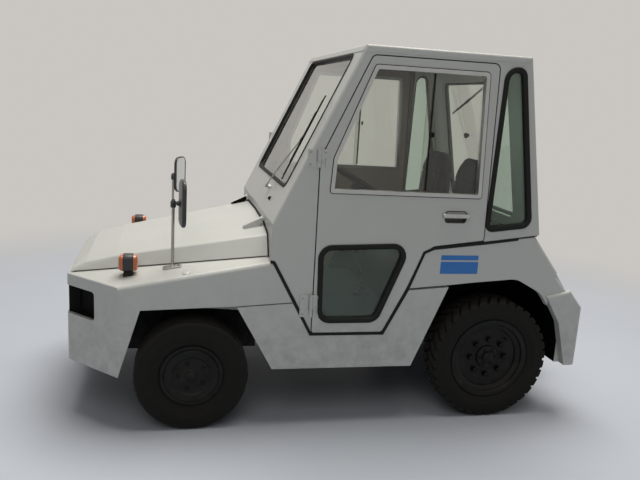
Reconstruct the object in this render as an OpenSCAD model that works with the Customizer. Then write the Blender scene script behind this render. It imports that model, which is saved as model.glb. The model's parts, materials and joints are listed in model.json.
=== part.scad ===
// Airport baggage tug: a small four-wheeled towing tractor with a closed two-seat cab.
// X points forward, Y to the left and Z up, with the ground at Z = 0.
// Most side shapes are tables of [s, z]: s is the distance behind the front axle, z the height.

/* [Overall] */
// Distance between the axles
wheelbase = 1665; // [1500:10:1900]
// Width over the body sides
body_w = 1400; // [1360:10:1500]
// From the front axle forward to the nose
nose_reach = 638; // [600:1:720]
// From the rear axle back to the corner guards
tail_reach = 542; // [520:1:620]
// From the corner guards back to the end of the tow jaw
hitch_reach = 125; // [100:5:200]

/* [Wheels] */
// Outer diameter of a front tyre
front_tyre_d = 588; // [560:2:600]
// Width of a front tyre
front_tyre_w = 176; // [150:2:190]
// Bead diameter of a front rim
front_rim_d = 300; // [280:1:310]
// Outer diameter of a rear tyre
rear_tyre_d = 690; // [660:2:700]
// Width of a rear tyre
rear_tyre_w = 190; // [170:2:200]
// Bead diameter of a rear rim
rear_rim_d = 414; // [380:1:425]
// Distance between the outer faces of the left and right tyres
tyre_face_w = 1400; // [1360:5:1420]
// Diameter of a front stub axle
front_stub_d = 40; // [30:1:45]
// Diameter of a rear stub axle
rear_stub_d = 60; // [45:1:70]
// Running clearance of a shaft in its bore, on the radius
shaft_gap = 0.05; // [0.02:0.01:0.1]

/* [Steering] */
// Distance from a kingpin out to the middle of its wheel
kingpin_offset = 162; // [150:1:180]
// Diameter of a kingpin
kingpin_d = 28; // [20:1:34]
// Diameter of the steering wheel
steering_wheel_d = 380; // [340:5:420]
// Thickness of the steering wheel's rim
steering_rim_d = 26; // [20:1:32]
// Angle of the steering wheel's face above the horizontal
steering_rake = 30; // [20:1:45]

/* [Panels] */
// Thickness of the cab sides and the other side walls
wall = 40; // [30:1:45]
// Thickness of a door
door_t = 38; // [28:1:40]
// Gap around a door and around the hood
panel_gap = 6; // [5:0.5:8]
// Thickness of the hood, the nose and the fender tops
shell_t = 22; // [16:1:28]
// Thickness of the glass
glass_t = 5; // [4:0.5:6]
// Clearance between a seated piece and its seat
seat_gap = 0.3; // [0.2:0.1:0.5]
// Height of the cab's roof above the ground
roof_z = 2010; // [1960:5:2060]
// Lean of the wind-screen from the vertical, in degrees
front_lean = 25.36; // [22:0.1:28]
// Lean of the cab's rear wall from the vertical, in degrees
rear_lean = 10.05; // [6:0.1:14]
// Width of the wind-screen's opening
screen_w = 1090; // [1000:5:1130]
// Width of the rear window's opening
rear_window_w = 940; // [800:5:1000]

/* [Frame] */
// Height of the underside of the frame rails
rail_z = 400; // [395:1:410]
// Height of a frame rail
rail_h = 115; // [90:5:118]
// Width of a frame rail
rail_w = 55; // [40:5:60]
// Distance from the middle to the outer face of a rail
rail_y = 285; // [270:5:295]

/* [Tow jaw] */
// Diameter of the hole for the tow pin
tow_pin_d = 32; // [24:1:36]
// Thickness of a jaw plate
jaw_t = 18; // [14:1:24]
// Clear height between the jaw plates
jaw_gap = 62; // [50:2:80]
// Height of the middle of the jaw
jaw_z = 400; // [380:5:430]

/* [Mirrors] */
// Width of a mirror's head
mirror_w = 150; // [120:2:170]
// Height of a mirror's head
mirror_h = 235; // [200:5:260]
// How far the left head is turned in towards the driver, in degrees
left_toe = 7; // [0:1:30]
// How far the right head is turned in towards the driver, in degrees
right_toe = 25; // [0:1:30]

/* [Hidden] */
$fn = 48;

// Main places
overall_l = nose_reach + wheelbase + tail_reach + hitch_reach;
front_axle_x = overall_l / 2 - nose_reach;
half_w = body_w / 2;
inner_y = half_w - wall;
front_z = front_tyre_d / 2;
rear_z = rear_tyre_d / 2;
front_wheel_y = tyre_face_w / 2 - front_tyre_w / 2;
rear_wheel_y = tyre_face_w / 2 - rear_tyre_w / 2;
kingpin_y = front_wheel_y - kingpin_offset;
tail_s = wheelbase + tail_reach;

// Side outlines as [s, z]
deck_front_z = 773;
deck_rear_z = 907;
deck_rear_s = 403;
cowl_s = 384;
nose_corner_s = 367;
nose_corner_y = half_w - 280;
nose_bottom_z = 302;
arch_front = [[363, 312], [258, 655]];
fender_foot = [518, 693];
skirt_front = [[221, 673], [414, 326]];
sill_front = [612, 519];
cab_front_z = 1105;
cab_front_s = cowl_s;
cab_rear_z = 1068;
// Points given by their distance behind the rear axle
function back(t) = [for (p = t) [wheelbase + p[0], p[1]]];
skirt_rear = back([[-479, 323]])[0];
sill_rear = back([[-662, 516]])[0];
skirt_top = back([[-544, 753], [-299, 772]]);
deck_step = back([[-406, 986]])[0];
quarter_rear = back([[190, 1061]])[0];
cab_rear_s = wheelbase + 211;
tail_top = [tail_s - 189, 857];
seam_rear = [tail_s - 200, 841];

// The fender tops and the nose's corners lie in one plane, which falls outwards and forwards
deck_rise = (deck_rear_z - deck_front_z) / (deck_rear_s + nose_corner_s);
deck_fall = deck_rise * (nose_reach - nose_corner_s) / (half_w - nose_corner_y);
function deck_z(s, y) = deck_front_z + deck_rise * (s + nose_corner_s) + deck_fall * (half_w - y);
// Height of the seam between the quarter panels and the cab
function seam_z(s) = deck_step[1]
    + (s - deck_step[0]) * (quarter_rear[1] - deck_step[1]) / (quarter_rear[0] - deck_step[0]);

// Distance behind the front axle of the cab's front and rear planes at height z, t in from the face
function front_s(z, t = 0) = cab_front_s + (z - cab_front_z) * tan(front_lean) + t / cos(front_lean);
function rear_s(z, t = 0) = cab_rear_s - (z - cab_rear_z) * tan(rear_lean) - t / cos(rear_lean);
roof_front_s = front_s(roof_z);
roof_rear_s = rear_s(roof_z);

// Openings. Their tops keep their distance from the roof, and their slopes follow the cab's planes
door_top_z = roof_z - 50;
door_outline = concat([[617, 525], [613, 1440], [front_s(door_top_z - 2, 55.8), door_top_z - 2]],
    back([[-139, door_top_z], [-125, 1035], [-407, 1000], [-463, 962], [-545, 762], [-663, 525]]));
door_radii = [12, 40, 30, 30, 12, 30, 20, 20, 20];
window_top_z = roof_z - 95;
window_outline = concat([[671, 1270], [680, 1446], [front_s(window_top_z, 87.8), window_top_z]],
    back([[-188, window_top_z + 1], [-165, 1263]]));
window_radii = [12, 20, 20, 20, 12];
low_window_outline = concat([[652, 590], [640, 985]], back([[-543, 1002], [-703, 590]]));
low_window_r = 60;
quarter_top_z = roof_z - 65;
quarter_window_outline = concat(
    [[wheelbase - 93, quarter_top_z], [rear_s(quarter_top_z - 7, 53), quarter_top_z - 7]],
    back([[138, 1122], [-113, 1092]]));
quarter_window_radii = [60, 40, 45, 30];
// Foot, top and corner radius of the wind-screen's and the rear window's openings
screen_z = [1272, roof_z - 45];
screen_r = 40;
rear_window_z = [1130, roof_z - 115];
rear_window_r = 50;

// Plane geometry
function at(s, z) = [front_axle_x - s, z];
function side(t) = [for (p = t) at(p[0], p[1])];
function unit(v) = v / norm(v);
function turned_by(a) = a > 180 ? a - 360 : a < -180 ? a + 360 : a;
function area(p) = let (n = len(p))
    [for (i = 0, a = 0; i <= n; a = a + (i < n ? cross(p[i], p[(i + 1) % n]) : 0), i = i + 1) a][n] / 2;
function edge_normal(a, b, sense) = let (e = unit(b - a)) sense * [e[1], -e[0]];
// The outline p moved outwards by d, or inwards where d is negative
function grown(p, d) = let (n = len(p), sense = sign(area(p))) [
    for (i = [0 : n - 1])
        let (n0 = edge_normal(p[(i + n - 1) % n], p[i], sense),
             n1 = edge_normal(p[i], p[(i + 1) % n], sense))
        p[i] + (n0 + n1) * d / (1 + n0 * n1)];
function corner_arc(a, p, b, r, steps) = let (
    u = unit(a - p), v = unit(b - p),
    h = acos(u * v) / 2,
    c = p + unit(u + v) * r / sin(h),
    s0 = p + u * r / tan(h) - c, s1 = p + v * r / tan(h) - c,
    a0 = atan2(s0[1], s0[0]),
    da = turned_by(atan2(s1[1], s1[0]) - a0)) [
    for (i = [0 : steps]) c + r * [cos(a0 + da * i / steps), sin(a0 + da * i / steps)]];
// The outline p with its corners rounded by r, one radius or a list
function rounded(p, r, steps = 5) = let (n = len(p)) [
    for (i = [0 : n - 1])
        let (ri = is_list(r) ? r[i] : r)
        each (ri > 0 ? corner_arc(p[(i + n - 1) % n], p[i], p[(i + 1) % n], ri, steps) : [p[i]])];
function box2(w, h) = [[-w / 2, -h / 2], [w / 2, -h / 2], [w / 2, h / 2], [-w / 2, h / 2]];

// Solids from outlines
module both_sides() {
    children();
    mirror([0, 1, 0]) children();
}
module on_side(left) {
    if (left) children();
    else mirror([0, 1, 0]) children();
}
// A 2-D shape in X and Z, made solid from y0 to y1
module across(y0, y1) {
    translate([0, y1, 0]) rotate([90, 0, 0]) linear_extrude(y1 - y0) children();
}
module side_plate(table, y0, y1) {
    across(y0, y1) polygon(side(table));
}
// A 2-D shape in X and Y, made solid from z0 to z1
module upright(z0, z1) {
    translate([0, 0, z0]) linear_extrude(z1 - z0) children();
}
// A block between s0 and s1, y0 and y1, z0 and z1
module block(s0, s1, y0, y1, z0, z1) {
    translate([front_axle_x - s1, y0, z0]) cube([s1 - s0, y1 - y0, z1 - z0]);
}
// A cylinder along Y from y0 to y1
module bar_y(s, z, r, y0, y1) {
    translate([front_axle_x - s, y1, z]) rotate([90, 0, 0]) cylinder(r = r, h = y1 - y0);
}
module bar_x(s0, s1, y, z, r) {
    translate([front_axle_x - s1, y, z]) rotate([0, 90, 0]) cylinder(r = r, h = s1 - s0);
}
// A 2-D shape in the cab's front plane: x across, y up the slope, thick from t0 to t1 outwards
module front_plane(t0, t1) {
    translate([front_axle_x - cab_front_s, 0, cab_front_z]) rotate([0, -front_lean, 0])
        rotate([90, 0, 90]) translate([0, 0, t0]) linear_extrude(t1 - t0) children();
}
// The same in the cab's rear plane, thick from t0 to t1 inwards
module rear_plane(t0, t1) {
    translate([front_axle_x - cab_rear_s, 0, cab_rear_z]) rotate([0, rear_lean, 0])
        rotate([90, 0, 90]) translate([0, 0, t0]) linear_extrude(t1 - t0) children();
}
// A slab that follows the deck's plane over a plan of [s, y], from low to high above it
module deck_piece(plan, low, high) {
    n = len(plan);
    // The faces need the corners in one sense of rotation
    ring = area(plan) < 0 ? plan : [for (i = [n - 1 : -1 : 0]) plan[i]];
    polyhedron(concat(
        [for (p = ring) [front_axle_x - p[0], p[1], deck_z(p[0], p[1]) + low]],
        [for (p = ring) [front_axle_x - p[0], p[1], deck_z(p[0], p[1]) + high]]),
        concat([[for (i = [0 : n - 1]) i]], [[for (i = [n - 1 : -1 : 0]) n + i]],
            [for (i = [0 : n - 1]) [i, n + i, n + (i + 1) % n, (i + 1) % n]]));
}
// Height z measured up the slope of the front plane and of the rear plane
function front_v(z) = (z - cab_front_z) / cos(front_lean);
function rear_v(z) = (z - cab_rear_z) / cos(rear_lean);

// Cuts a straight edge round. The edge runs from p, in the direction across(out, up), for a length.
// out points out of the upright wall, and the top face rises by rise degrees away from it.
module round_edge(p, out, up, length, rise, r) {
    along = cross(out, up);
    c = [-r, -r * (1 - sin(rise)) / cos(rise)];
    far = c + (r + 20) * [sin(rise), cos(rise)];
    multmatrix([for (i = [0 : 2]) [out[i], up[i], along[i], p[i]]])
        linear_extrude(length) difference() {
            polygon([c, [r / 4, c[1]], [r / 4, far[1]], far]);
            translate(c) circle(r);
        }
}

/* Frame and axles */
// From the nose back to the frame rails
nose_bay = 78;
module chassis() {
    nose_end = -nose_reach + nose_bay;
    tail_end = tail_face_s - tail_t - seat_gap;
    color("#26282a") {
        both_sides() block(nose_end, tail_end, rail_y - rail_w, rail_y, rail_z, rail_z + rail_h);
        for (s = [nose_end, wheelbase * 0.285, wheelbase * 0.655, tail_end - rail_w])
            block(s, s + rail_w, -rail_y + 1, rail_y - 1, rail_z + 10, rail_z + rail_h - 10);
        both_sides() {
            // Arms out to the side skirts
            for (s = [cowl_s + 90, box_front_s - 200])
                block(s, s + arm_w, rail_y - 1, inner_y - seat_gap, rail_z + 35, rail_z + 75);
            // Splash plate beside the engine, cut out over the front axle, and the shelf under the fender
            side_plate([[-nose_reach + 88, 330], [-nose_reach + 240, 300], [-80, 300], [-65, rail_z + 10],
                [65, rail_z + 10], [80, 300], [cowl_s - 10, 300], [cowl_s - 10, apron_z - seat_gap],
                [-nose_reach + 88, apron_z - seat_gap]],
                rail_y - 1, rail_y + splash_t);
            upright(apron_z - seat_gap - splash_t, apron_z - seat_gap) polygon(side([[-nose_split_s, rail_y],
                deck_inner[1] + [nose_corner_s - nose_split_s, 0], deck_inner[2], [cowl_s - seat_gap, rail_y]]));
        }
    }
}
arm_w = 45;
splash_t = 6;
engine_l = 560;
engine_w = 400;
engine_s = -230;
engine_foot_w = 60;
engine_z = [345, 800];
module engine_block() {
    color("#4c4f50") {
        block(engine_s, engine_s + engine_l, -engine_w / 2, engine_w / 2, engine_z[0], engine_z[1]);
        foot_y = rail_y - rail_w - seat_gap;
        for (s = [engine_s + 60, engine_s + engine_l - 60 - engine_foot_w])
            block(s, s + engine_foot_w, -foot_y, foot_y, rail_z + 40, rail_z + 70);
    }
}
beam_h = 60;
eye_r = 36;
eye_h = 80;
module front_axle() {
    color("#1d1f20") {
        block(-35, 35, -kingpin_y, kingpin_y, front_z - beam_h / 2, front_z + beam_h / 2);
        both_sides() {
            translate([front_axle_x, kingpin_y, front_z - eye_h / 2]) cylinder(r = eye_r, h = eye_h);
            translate([front_axle_x, kingpin_y, front_z - pin_h / 2]) cylinder(d = kingpin_d, h = pin_h);
            block(-50, 50, rail_y - rail_w, rail_y, front_z, rail_z - seat_gap);
        }
    }
}
rear_tube_r = 50;
differential_r = 125;
pinion_r = 60;
brake_r = 105;
spring_pad_w = 90;
module rear_axle() {
    color("#1d1f20") {
        bar_y(wheelbase, rear_z, rear_tube_r, -rear_hub_y0 + 1, rear_hub_y0 - 1);
        translate([front_axle_x - wheelbase, 0, rear_z]) sphere(r = differential_r);
        bar_x(wheelbase - 190, wheelbase, 0, rear_z, pinion_r);
        both_sides() {
            bar_y(wheelbase, rear_z, brake_r, rear_hub_y0 - 22, rear_hub_y0 - 1);
            bar_y(wheelbase, rear_z, rear_stub_d / 2, 0, rear_hub_y1 - 14);
            block(wheelbase - spring_pad_w / 2, wheelbase + spring_pad_w / 2, rail_y - rail_w, rail_y, rear_z,
                rail_z - seat_gap);
        }
    }
}

/* Knuckles, wheels and tyres */
pin_h = 150;
arm_t = 20;
front_hub_y0 = front_wheel_y - 66;
front_hub_y1 = front_wheel_y + 40;
rear_hub_y0 = rear_wheel_y - 80;
rear_hub_y1 = rear_wheel_y + 58;
module knuckle() {
    arm_y = kingpin_y + eye_r + 6;
    post_y = front_hub_y0 - 2;
    translate([front_axle_x, 0, front_z]) {
        for (top = [0, 1]) mirror([0, 0, top]) difference() {
            union() {
                translate([0, kingpin_y, eye_h / 2 + 1]) cylinder(r = 27, h = arm_t);
                translate([-27, kingpin_y, eye_h / 2 + 1]) cube([54, arm_y - kingpin_y + 2, arm_t]);
            }
            translate([0, kingpin_y, eye_h / 2]) cylinder(d = kingpin_d + 2 * shaft_gap, h = arm_t + 5);
        }
        translate([-27, arm_y, -eye_h / 2 - 1 - arm_t]) cube([54, post_y - arm_y, eye_h + 2 + 2 * arm_t]);
        translate([0, front_hub_y1 - 14, 0]) rotate([90, 0, 0])
            cylinder(d = front_stub_d, h = front_hub_y1 - 14 - arm_y);
        // Steering arm, pointing back
        translate([-100, arm_y, -eye_h / 2 - 1 - arm_t]) cube([90, 20, 16]);
    }
}
module knuckle_left() { color("#2b2d2e") on_side(true) knuckle(); }
module knuckle_right() { color("#2b2d2e") on_side(false) knuckle(); }

// Wheels about their own axes, as [radius, distance outwards from the rim's middle].
// bead_y is half the distance between the flanges, and each flange is rim_t thick.
rim_t = 7;
// The barrel with its two flanges, from the inner side to the outer
function barrel(bead_r, flange_h, bead_y) = let (lip = bead_r + flange_h) [
    [bead_r - rim_t, -bead_y - rim_t], [lip, -bead_y - rim_t], [lip, -bead_y], [bead_r, -bead_y],
    [bead_r, bead_y], [lip, bead_y], [lip, bead_y + rim_t]];
front_cap_r = 141;
front_dish_r = 96;
front_dish = 6;
module front_rim() {
    face = front_bead_y + rim_t + 9;
    dish = face - front_dish;
    hub0 = front_hub_y0 - front_wheel_y;
    hub1 = front_hub_y1 - front_wheel_y - 8;
    bore_r = front_stub_d / 2 + shaft_gap;
    color("#17191a") rotate_extrude($fn = 64) polygon(concat(
        [[bore_r, hub0], [46, hub0], [46, dish - rim_t], [front_dish_r, dish - rim_t],
         [front_dish_r + 8, face - rim_t], [front_rim_d / 2 - rim_t, face - rim_t]],
        barrel(front_rim_d / 2, front_flange_h, front_bead_y),
        [[front_cap_r, front_bead_y + rim_t], [front_cap_r, face - 4], [front_cap_r - 4, face],
         [front_dish_r + 9, face], [front_dish_r, dish], [34, dish], [30, dish + 5], [0, dish + 5],
         [0, hub1], [bore_r, hub1]]));
}
rear_disc_r = 170;
rear_disc_y = 44;
rear_hub_r = 68;
module rear_rim() {
    hub0 = rear_hub_y0 - rear_wheel_y;
    hub1 = rear_hub_y1 - rear_wheel_y;
    bead_r = rear_rim_d / 2;
    bore_r = rear_stub_d / 2 + shaft_gap;
    color("#17191a") rotate_extrude($fn = 64) polygon(concat(
        [[bore_r, hub0], [rear_hub_r, hub0], [rear_hub_r, rear_disc_y - rim_t],
         [rear_disc_r, rear_disc_y - rim_t], [bead_r - rim_t, rear_disc_y - 3 * rim_t]],
        barrel(bead_r, rear_flange_h, rear_bead_y),
        [[bead_r - rim_t + 4, rear_bead_y + rim_t], [bead_r - rim_t, rear_bead_y + rim_t - 4],
         [bead_r - rim_t - 2, rear_bead_y - 6], [rear_disc_r + 12, rear_disc_y + 14],
         [rear_disc_r + 4, rear_disc_y + 10],
         [rear_disc_r, rear_disc_y], [rear_hub_r, rear_disc_y], [rear_hub_r * 0.96, hub1 - 4],
         [rear_hub_r * 0.88, hub1], [0, hub1], [0, hub1 - 8], [bore_r, hub1 - 8]]));
}
// One side of a tyre's section as [radius, distance from the middle], from the bead to the crown
function tyre_side(outer_r, half, bead_r, flange_h, bead_y) = concat(
    [[bead_r + seat_gap, bead_y - seat_gap], [bead_r + flange_h + 3, bead_y - seat_gap],
     [bead_r + flange_h + 12, bead_y + 8]],
    corner_arc([bead_r + flange_h + 12, bead_y + 8], [(bead_r + outer_r) / 2 + 4, half],
        [outer_r - 30, half], 20, 4),
    corner_arc([(bead_r + outer_r) / 2, half], [outer_r - 3, half * 0.98], [outer_r, half * 0.4], 15, 5));
module carcass(one) {
    n = len(one);
    rotate_extrude($fn = 72) polygon(concat(one, [for (i = [n - 1 : -1 : 0]) [one[i][0], -one[i][1]]]));
}
// Ribbed front tread: grooves round the crown, mirrored about the middle
rib_grooves = [52, 26, 0];
groove_w = 7;
groove_d = 9;
module front_tyre() {
    r = front_tyre_d / 2;
    half = front_tyre_w / 2;
    grooves = [for (g = rib_grooves) each [[r, g + groove_w / 2], [r - groove_d, g + groove_w / 2 - 1],
        each (g > 0 ? [[r - groove_d, g - groove_w / 2 + 1], [r, g - groove_w / 2]] : [])]];
    color("#202224") carcass(concat(
        tyre_side(r, half, front_rim_d / 2, front_flange_h, front_bead_y), grooves));
}
// Lugged rear tread: slanting blocks from each shoulder to the middle, staggered
lug_count = 36;
lug_w = 36;
lug_h = 10;
lug_slant = 30;
module rear_tyre() {
    r = rear_tyre_d / 2;
    half = rear_tyre_w / 2;
    color("#202224") {
        carcass(tyre_side(r - lug_h, half - 1, rear_rim_d / 2, rear_flange_h, rear_bead_y));
        intersection() {
            for (top = [0, 1]) mirror([0, 0, top]) rotate([0, 0, top * 180 / lug_count])
                for (i = [0 : lug_count - 1]) rotate([0, 0, i * 360 / lug_count])
                    translate([r - lug_h - 30, 0, half * 0.55]) rotate([-lug_slant, 0, 0])
                        translate([0, -lug_w / 2, -half * 0.52]) cube([lug_h + 40, lug_w, half * 1.2]);
            rotate_extrude($fn = 72) polygon(concat(lug_section(r, half),
                [for (p = [for (i = [2 : -1 : 0]) lug_section(r, half)[i]]) [p[0], -p[1]]]));
        }
    }
}
// Outer section of the lugs on one side
function lug_section(r, half) = [[r - 34, half - 1.4], [r - 6, half * 0.965], [r, half * 0.7]];
module place_wheel(front, left) {
    y = front ? front_wheel_y : rear_wheel_y;
    s = front ? 0 : wheelbase;
    on_side(left) translate([front_axle_x - s, y, front ? front_z : rear_z])
        rotate([-90, 0, 0]) children();
}
front_flange_h = 11;
rear_flange_h = 20;
front_bead_y = front_tyre_w * 0.36;
rear_bead_y = rear_tyre_w * 0.37;
module wheel_front_left() { place_wheel(true, true) front_rim(); }
module wheel_front_right() { place_wheel(true, false) front_rim(); }
module wheel_rear_left() { place_wheel(false, true) rear_rim(); }
module wheel_rear_right() { place_wheel(false, false) rear_rim(); }
module tyre_front_left() { place_wheel(true, true) front_tyre(); }
module tyre_front_right() { place_wheel(true, false) front_tyre(); }
module tyre_rear_left() { place_wheel(false, true) rear_tyre(); }
module tyre_rear_right() { place_wheel(false, false) rear_tyre(); }

/* Nose, fenders and skirts */
nose_slope = (half_w - nose_corner_y) / (nose_reach - nose_corner_s);
nose_split_s = nose_corner_s - 22;
nose_r = 34;
// Half width of the nose at distance s, measured d inside its slanting sides
function nose_y(s, d) = half_w - nose_slope * (-s - nose_corner_s) - d * sqrt(1 + nose_slope * nose_slope);
// The nose seen from above as [x, y], d inside its walls and back by one extra length, with round corners
function nose_plan(d, back = 0, r = 0) = let (
    s1 = d - nose_reach,
    sc = d * (sqrt(1 + nose_slope * nose_slope) - 1) / nose_slope - nose_corner_s,
    half = [[back - nose_split_s, half_w - d], [sc, half_w - d], [s1, nose_y(s1, d)]],
    plan = [for (q = [half[0], half[1], half[2], [s1, -half[2][1]], [sc, d - half_w], [half[0][0], d - half_w]])
        [front_axle_x - q[0], q[1]]])
    r > 0 ? rounded(plan, [0, r, r, r, r, 0]) : plan;
band_z0 = 560;
band_z1 = 712;
band_w = body_w - 250;
// Inner edge of the deck beside the hood, as [s, y]
deck_inner = [[-600, nose_corner_y + 1], [-nose_corner_s, nose_corner_y + 5], [cowl_s - seat_gap, half_w - 120]];
module nose() {
    color("#c9cccb") difference() {
        upright(nose_bottom_z, deck_front_z + 60) polygon(nose_plan(0, 0, nose_r));
        above_nose(0);
        // The inside, and the bay under the hood
        difference() {
            upright(nose_bottom_z - 1, deck_front_z + 61) polygon(nose_plan(shell_t, 1));
            above_nose(-shell_t);
        }
        upright(deck_front_z - shell_t - 30, deck_front_z + 61) polygon([for (p = concat(
            [deck_inner[0], deck_inner[1] + [nose_corner_s, 0]],
            [for (q = [deck_inner[1] + [nose_corner_s, 0], deck_inner[0]]) [q[0], -q[1]]]))
            [front_axle_x - p[0], p[1]]]);
        // The band for the lamps and grille
        translate([front_axle_x + nose_corner_s + 20, 0, (band_z0 + band_z1) / 2]) rotate([90, 0, 90])
            linear_extrude(nose_reach) polygon(rounded(box2(band_w, band_z1 - band_z0), 18));
        // The front edge of the wheel arch
        both_sides() side_plate([[-arch_front[0][0], nose_bottom_z - 1], [-arch_front[0][0], arch_front[0][1]],
            [-arch_front[1][0], arch_front[1][1]], [0, nose_bottom_z - 1]], inner_y - 1, half_w + 1);
        round_edge([front_axle_x + nose_reach, nose_corner_y + 10, deck_front_z], [1, 0, 0], [0, 0, 1],
            2 * nose_corner_y + 20, 0, nose_edge_r);
        both_sides() {
            chamfer = [half_w - nose_corner_y, nose_reach - nose_corner_s];
            turned = unit(chamfer);
            round_edge([front_axle_x + nose_corner_s, half_w, deck_front_z] - 20 * [turned[1], -turned[0], 0],
                [turned[0], turned[1], 0], [0, 0, 1], norm(chamfer) + 40, chamfer_rise, nose_edge_r);
            side_edge();
        }
    }
}
// How steeply the deck rises away from the chamfer, and away from the side, in degrees
chamfer_rise = atan((deck_rise * (half_w - nose_corner_y) + deck_fall * (nose_reach - nose_corner_s))
    / norm([half_w - nose_corner_y, nose_reach - nose_corner_s]));
side_lean = atan(deck_rise);
edge_r = 25;
nose_edge_r = 7;
// The rounding of the edge between the body's side and the deck
module side_edge() {
    round_edge([front_axle_x - deck_rear_s - 1, half_w, deck_z(deck_rear_s + 1, half_w)], [0, 1, 0],
        [sin(side_lean), 0, cos(side_lean)], (deck_rear_s + nose_corner_s + 2) / cos(side_lean),
        atan(deck_fall * cos(side_lean)), edge_r);
}
// All that is above the nose's top faces, raised by d
module above_nose(d) {
    block(-nose_reach - 1, deck_inner[0][0], -nose_corner_y, nose_corner_y, deck_front_z + d, deck_front_z + 100);
    both_sides() deck_piece([[-900, nose_corner_y], [-200, nose_corner_y], [-200, 900], [-900, 900]], d, 300);
}
// Depth of the liner behind the nose's face
liner_depth = 62;
module grille() {
    z0 = band_z0 - 14;
    z1 = band_z1 + 14;
    color("#161819") {
        difference() {
            upright(z0, z1) polygon(nose_plan(shell_t + seat_gap));
            upright(z0 - 1, z1 + 1) polygon(nose_plan(liner_depth + 10, 1));
            difference() {
                upright(band_z0, band_z1) polygon(nose_plan(shell_t - 5));
                upright(band_z0 - 1, band_z1 + 1) polygon(nose_plan(liner_depth, 1));
            }
        }
        slats = 6;
        for (i = [0 : slats - 1])
            translate([front_axle_x + nose_reach - liner_depth - 1, -lamp_y + lamp_d / 2 + 12,
                       band_z0 + 12 + i * (band_z1 - band_z0 - 30) / (slats - 1)])
                cube([36, 2 * lamp_y - lamp_d - 24, 6]);
        // Plates between the lamps and the nose's slanting corners
        both_sides() block(-nose_reach + 7, -nose_reach + liner_depth + 2,
            lamp_y + lamp_d / 2 + 3, lamp_y + lamp_d / 2 + 9, band_z0 + seat_gap, band_z1 - seat_gap);
    }
}
lamp_d = 138;
lamp_y = nose_corner_y - 90;
module headlamps() {
    color("#dfe6e8") both_sides()
        translate([front_axle_x + nose_reach - liner_depth + seat_gap, lamp_y, (band_z0 + band_z1) / 2])
            rotate([0, 90, 0]) rotate_extrude() polygon(concat(
                [[0, 0], [lamp_d / 2 - 8, 0], [lamp_d / 2, 20], [lamp_d / 2, 38]],
                [for (a = [60 : -15 : 0]) [lamp_d * sin(a) / 2 * 0.98, 40 + 26 * (cos(a) - 0.5)]]));
}

// Left front fender: side, sloping top and the wall towards the engine bay
apron_z = 610;
module left_fender() {
    arch = [for (p = arch_front) [-p[0], p[1]]];
    // Where the arch's front edge meets the seam with the nose
    arch_z = arch[0][1] + (arch[1][1] - arch[0][1]) * (-nose_split_s - arch[0][0]) / (arch[1][0] - arch[0][0]);
    inner = [[-nose_split_s, deck_inner[1][1]], deck_inner[2]];
    difference() {
        union() {
            side_plate([[-nose_split_s, arch_z], [-nose_split_s, deck_z(-nose_split_s, half_w)],
                [deck_rear_s, deck_z(deck_rear_s, half_w)], fender_foot, skirt_front[0], arch[1]], inner_y, half_w);
            deck_piece([inner[0], inner[1], [cowl_s - seat_gap, half_w], [-nose_split_s, half_w]], -shell_t, 0);
        }
        side_edge();
    }
    difference() {
        upright(apron_z, 1000) polygon([for (p = concat(inner, [inner[1] + [0, 12], inner[0] + [0, 12]]))
            [front_axle_x - p[0], p[1]]]);
        deck_piece([[-500, 300], [500, 300], [500, 800], [-500, 800]], -shell_t / 2, 400);
    }
}
module front_fenders() {
    color("#c9cccb") both_sides() left_fender();
}
ledge_t = 14;
ledge_w = 180;
module side_skirts() {
    color("#c9cccb") both_sides() {
        side_plate([skirt_front[1], skirt_front[0] - [0, panel_gap], fender_foot - [0, panel_gap],
            sill_front, sill_rear, skirt_top[0], skirt_top[1], skirt_rear], inner_y, half_w);
        // Ledge under the body
        side_plate([skirt_front[1] + [26, 0], skirt_front[1] + [26, ledge_t], skirt_rear + [-6, ledge_t + 3],
            skirt_rear + [-6, 3]], inner_y - ledge_w, inner_y + 1);
    }
}

/* Rear body */
// The wheel arch from its front corner over the tyre to the corner guard, and its corner radii
arch_rear = back([[-295, 785], [-165, 798], [100, 819], [260, 735], [311, 662]]);
arch_radii = [0, 0, 130, 130, 0];
arch_end = arch_rear[len(arch_rear) - 1];
// The quarter panel from its front corner along the door and the cab, then down the tail
quarter_top = concat(back([[-533, 766], [-455, 955]]),
    [deck_step, quarter_rear, tail_top, seam_rear, seam_rear + [6, -6],
        [tail_s - 111, 741], arch_end + [0, 54]]);
module quarter_panels() {
    outline = concat(quarter_top, [for (i = [len(arch_rear) - 1 : -1 : 0]) arch_rear[i]]);
    radii = concat([8, 25, 25], [for (i = [3 : len(quarter_top) - 1]) 0],
        [for (i = [len(arch_rear) - 1 : -1 : 0]) arch_radii[i]]);
    color("#c9cccb") both_sides() difference() {
        side_plate(rounded(outline, radii), inner_y, half_w);
        plate_edge(quarter_rear, tail_top, half_w, edge_r, 30);
        plate_edge(deck_step, quarter_rear, half_w, 8, 30);
        plate_edge(seam_rear + [6, -6], [tail_s - 111, 741], half_w, edge_r, 3);
    }
}
// Rounds an upright plate's outer edge at y from a to b, and on past both by run
module plate_edge(a, b, y, r, run) {
    p = side([a, b]);
    d = unit(p[1] - p[0]);
    round_edge([p[1][0] + run * d[0], y, p[1][1] + run * d[1]], [0, 1, 0], [d[1], 0, -d[0]],
        norm(p[1] - p[0]) + 2 * run, 0, r);
}
tail_t = 40;
tail_face_s = tail_s - 76;
tail_foot_z = 305;
module tail() {
    top = [quarter_rear + [5, -6], tail_top, [tail_s - 107, 745], [tail_face_s, 700], [tail_face_s, tail_foot_z]];
    color("#c9cccb") side_plate(concat(top, [[tail_face_s - tail_t, tail_foot_z],
        [tail_face_s - tail_t, 690],
        [tail_s - 132, 715], tail_top + [-26, -27], quarter_rear + [-15, -44]]), -inner_y + seat_gap, inner_y - seat_gap);
}
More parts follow.
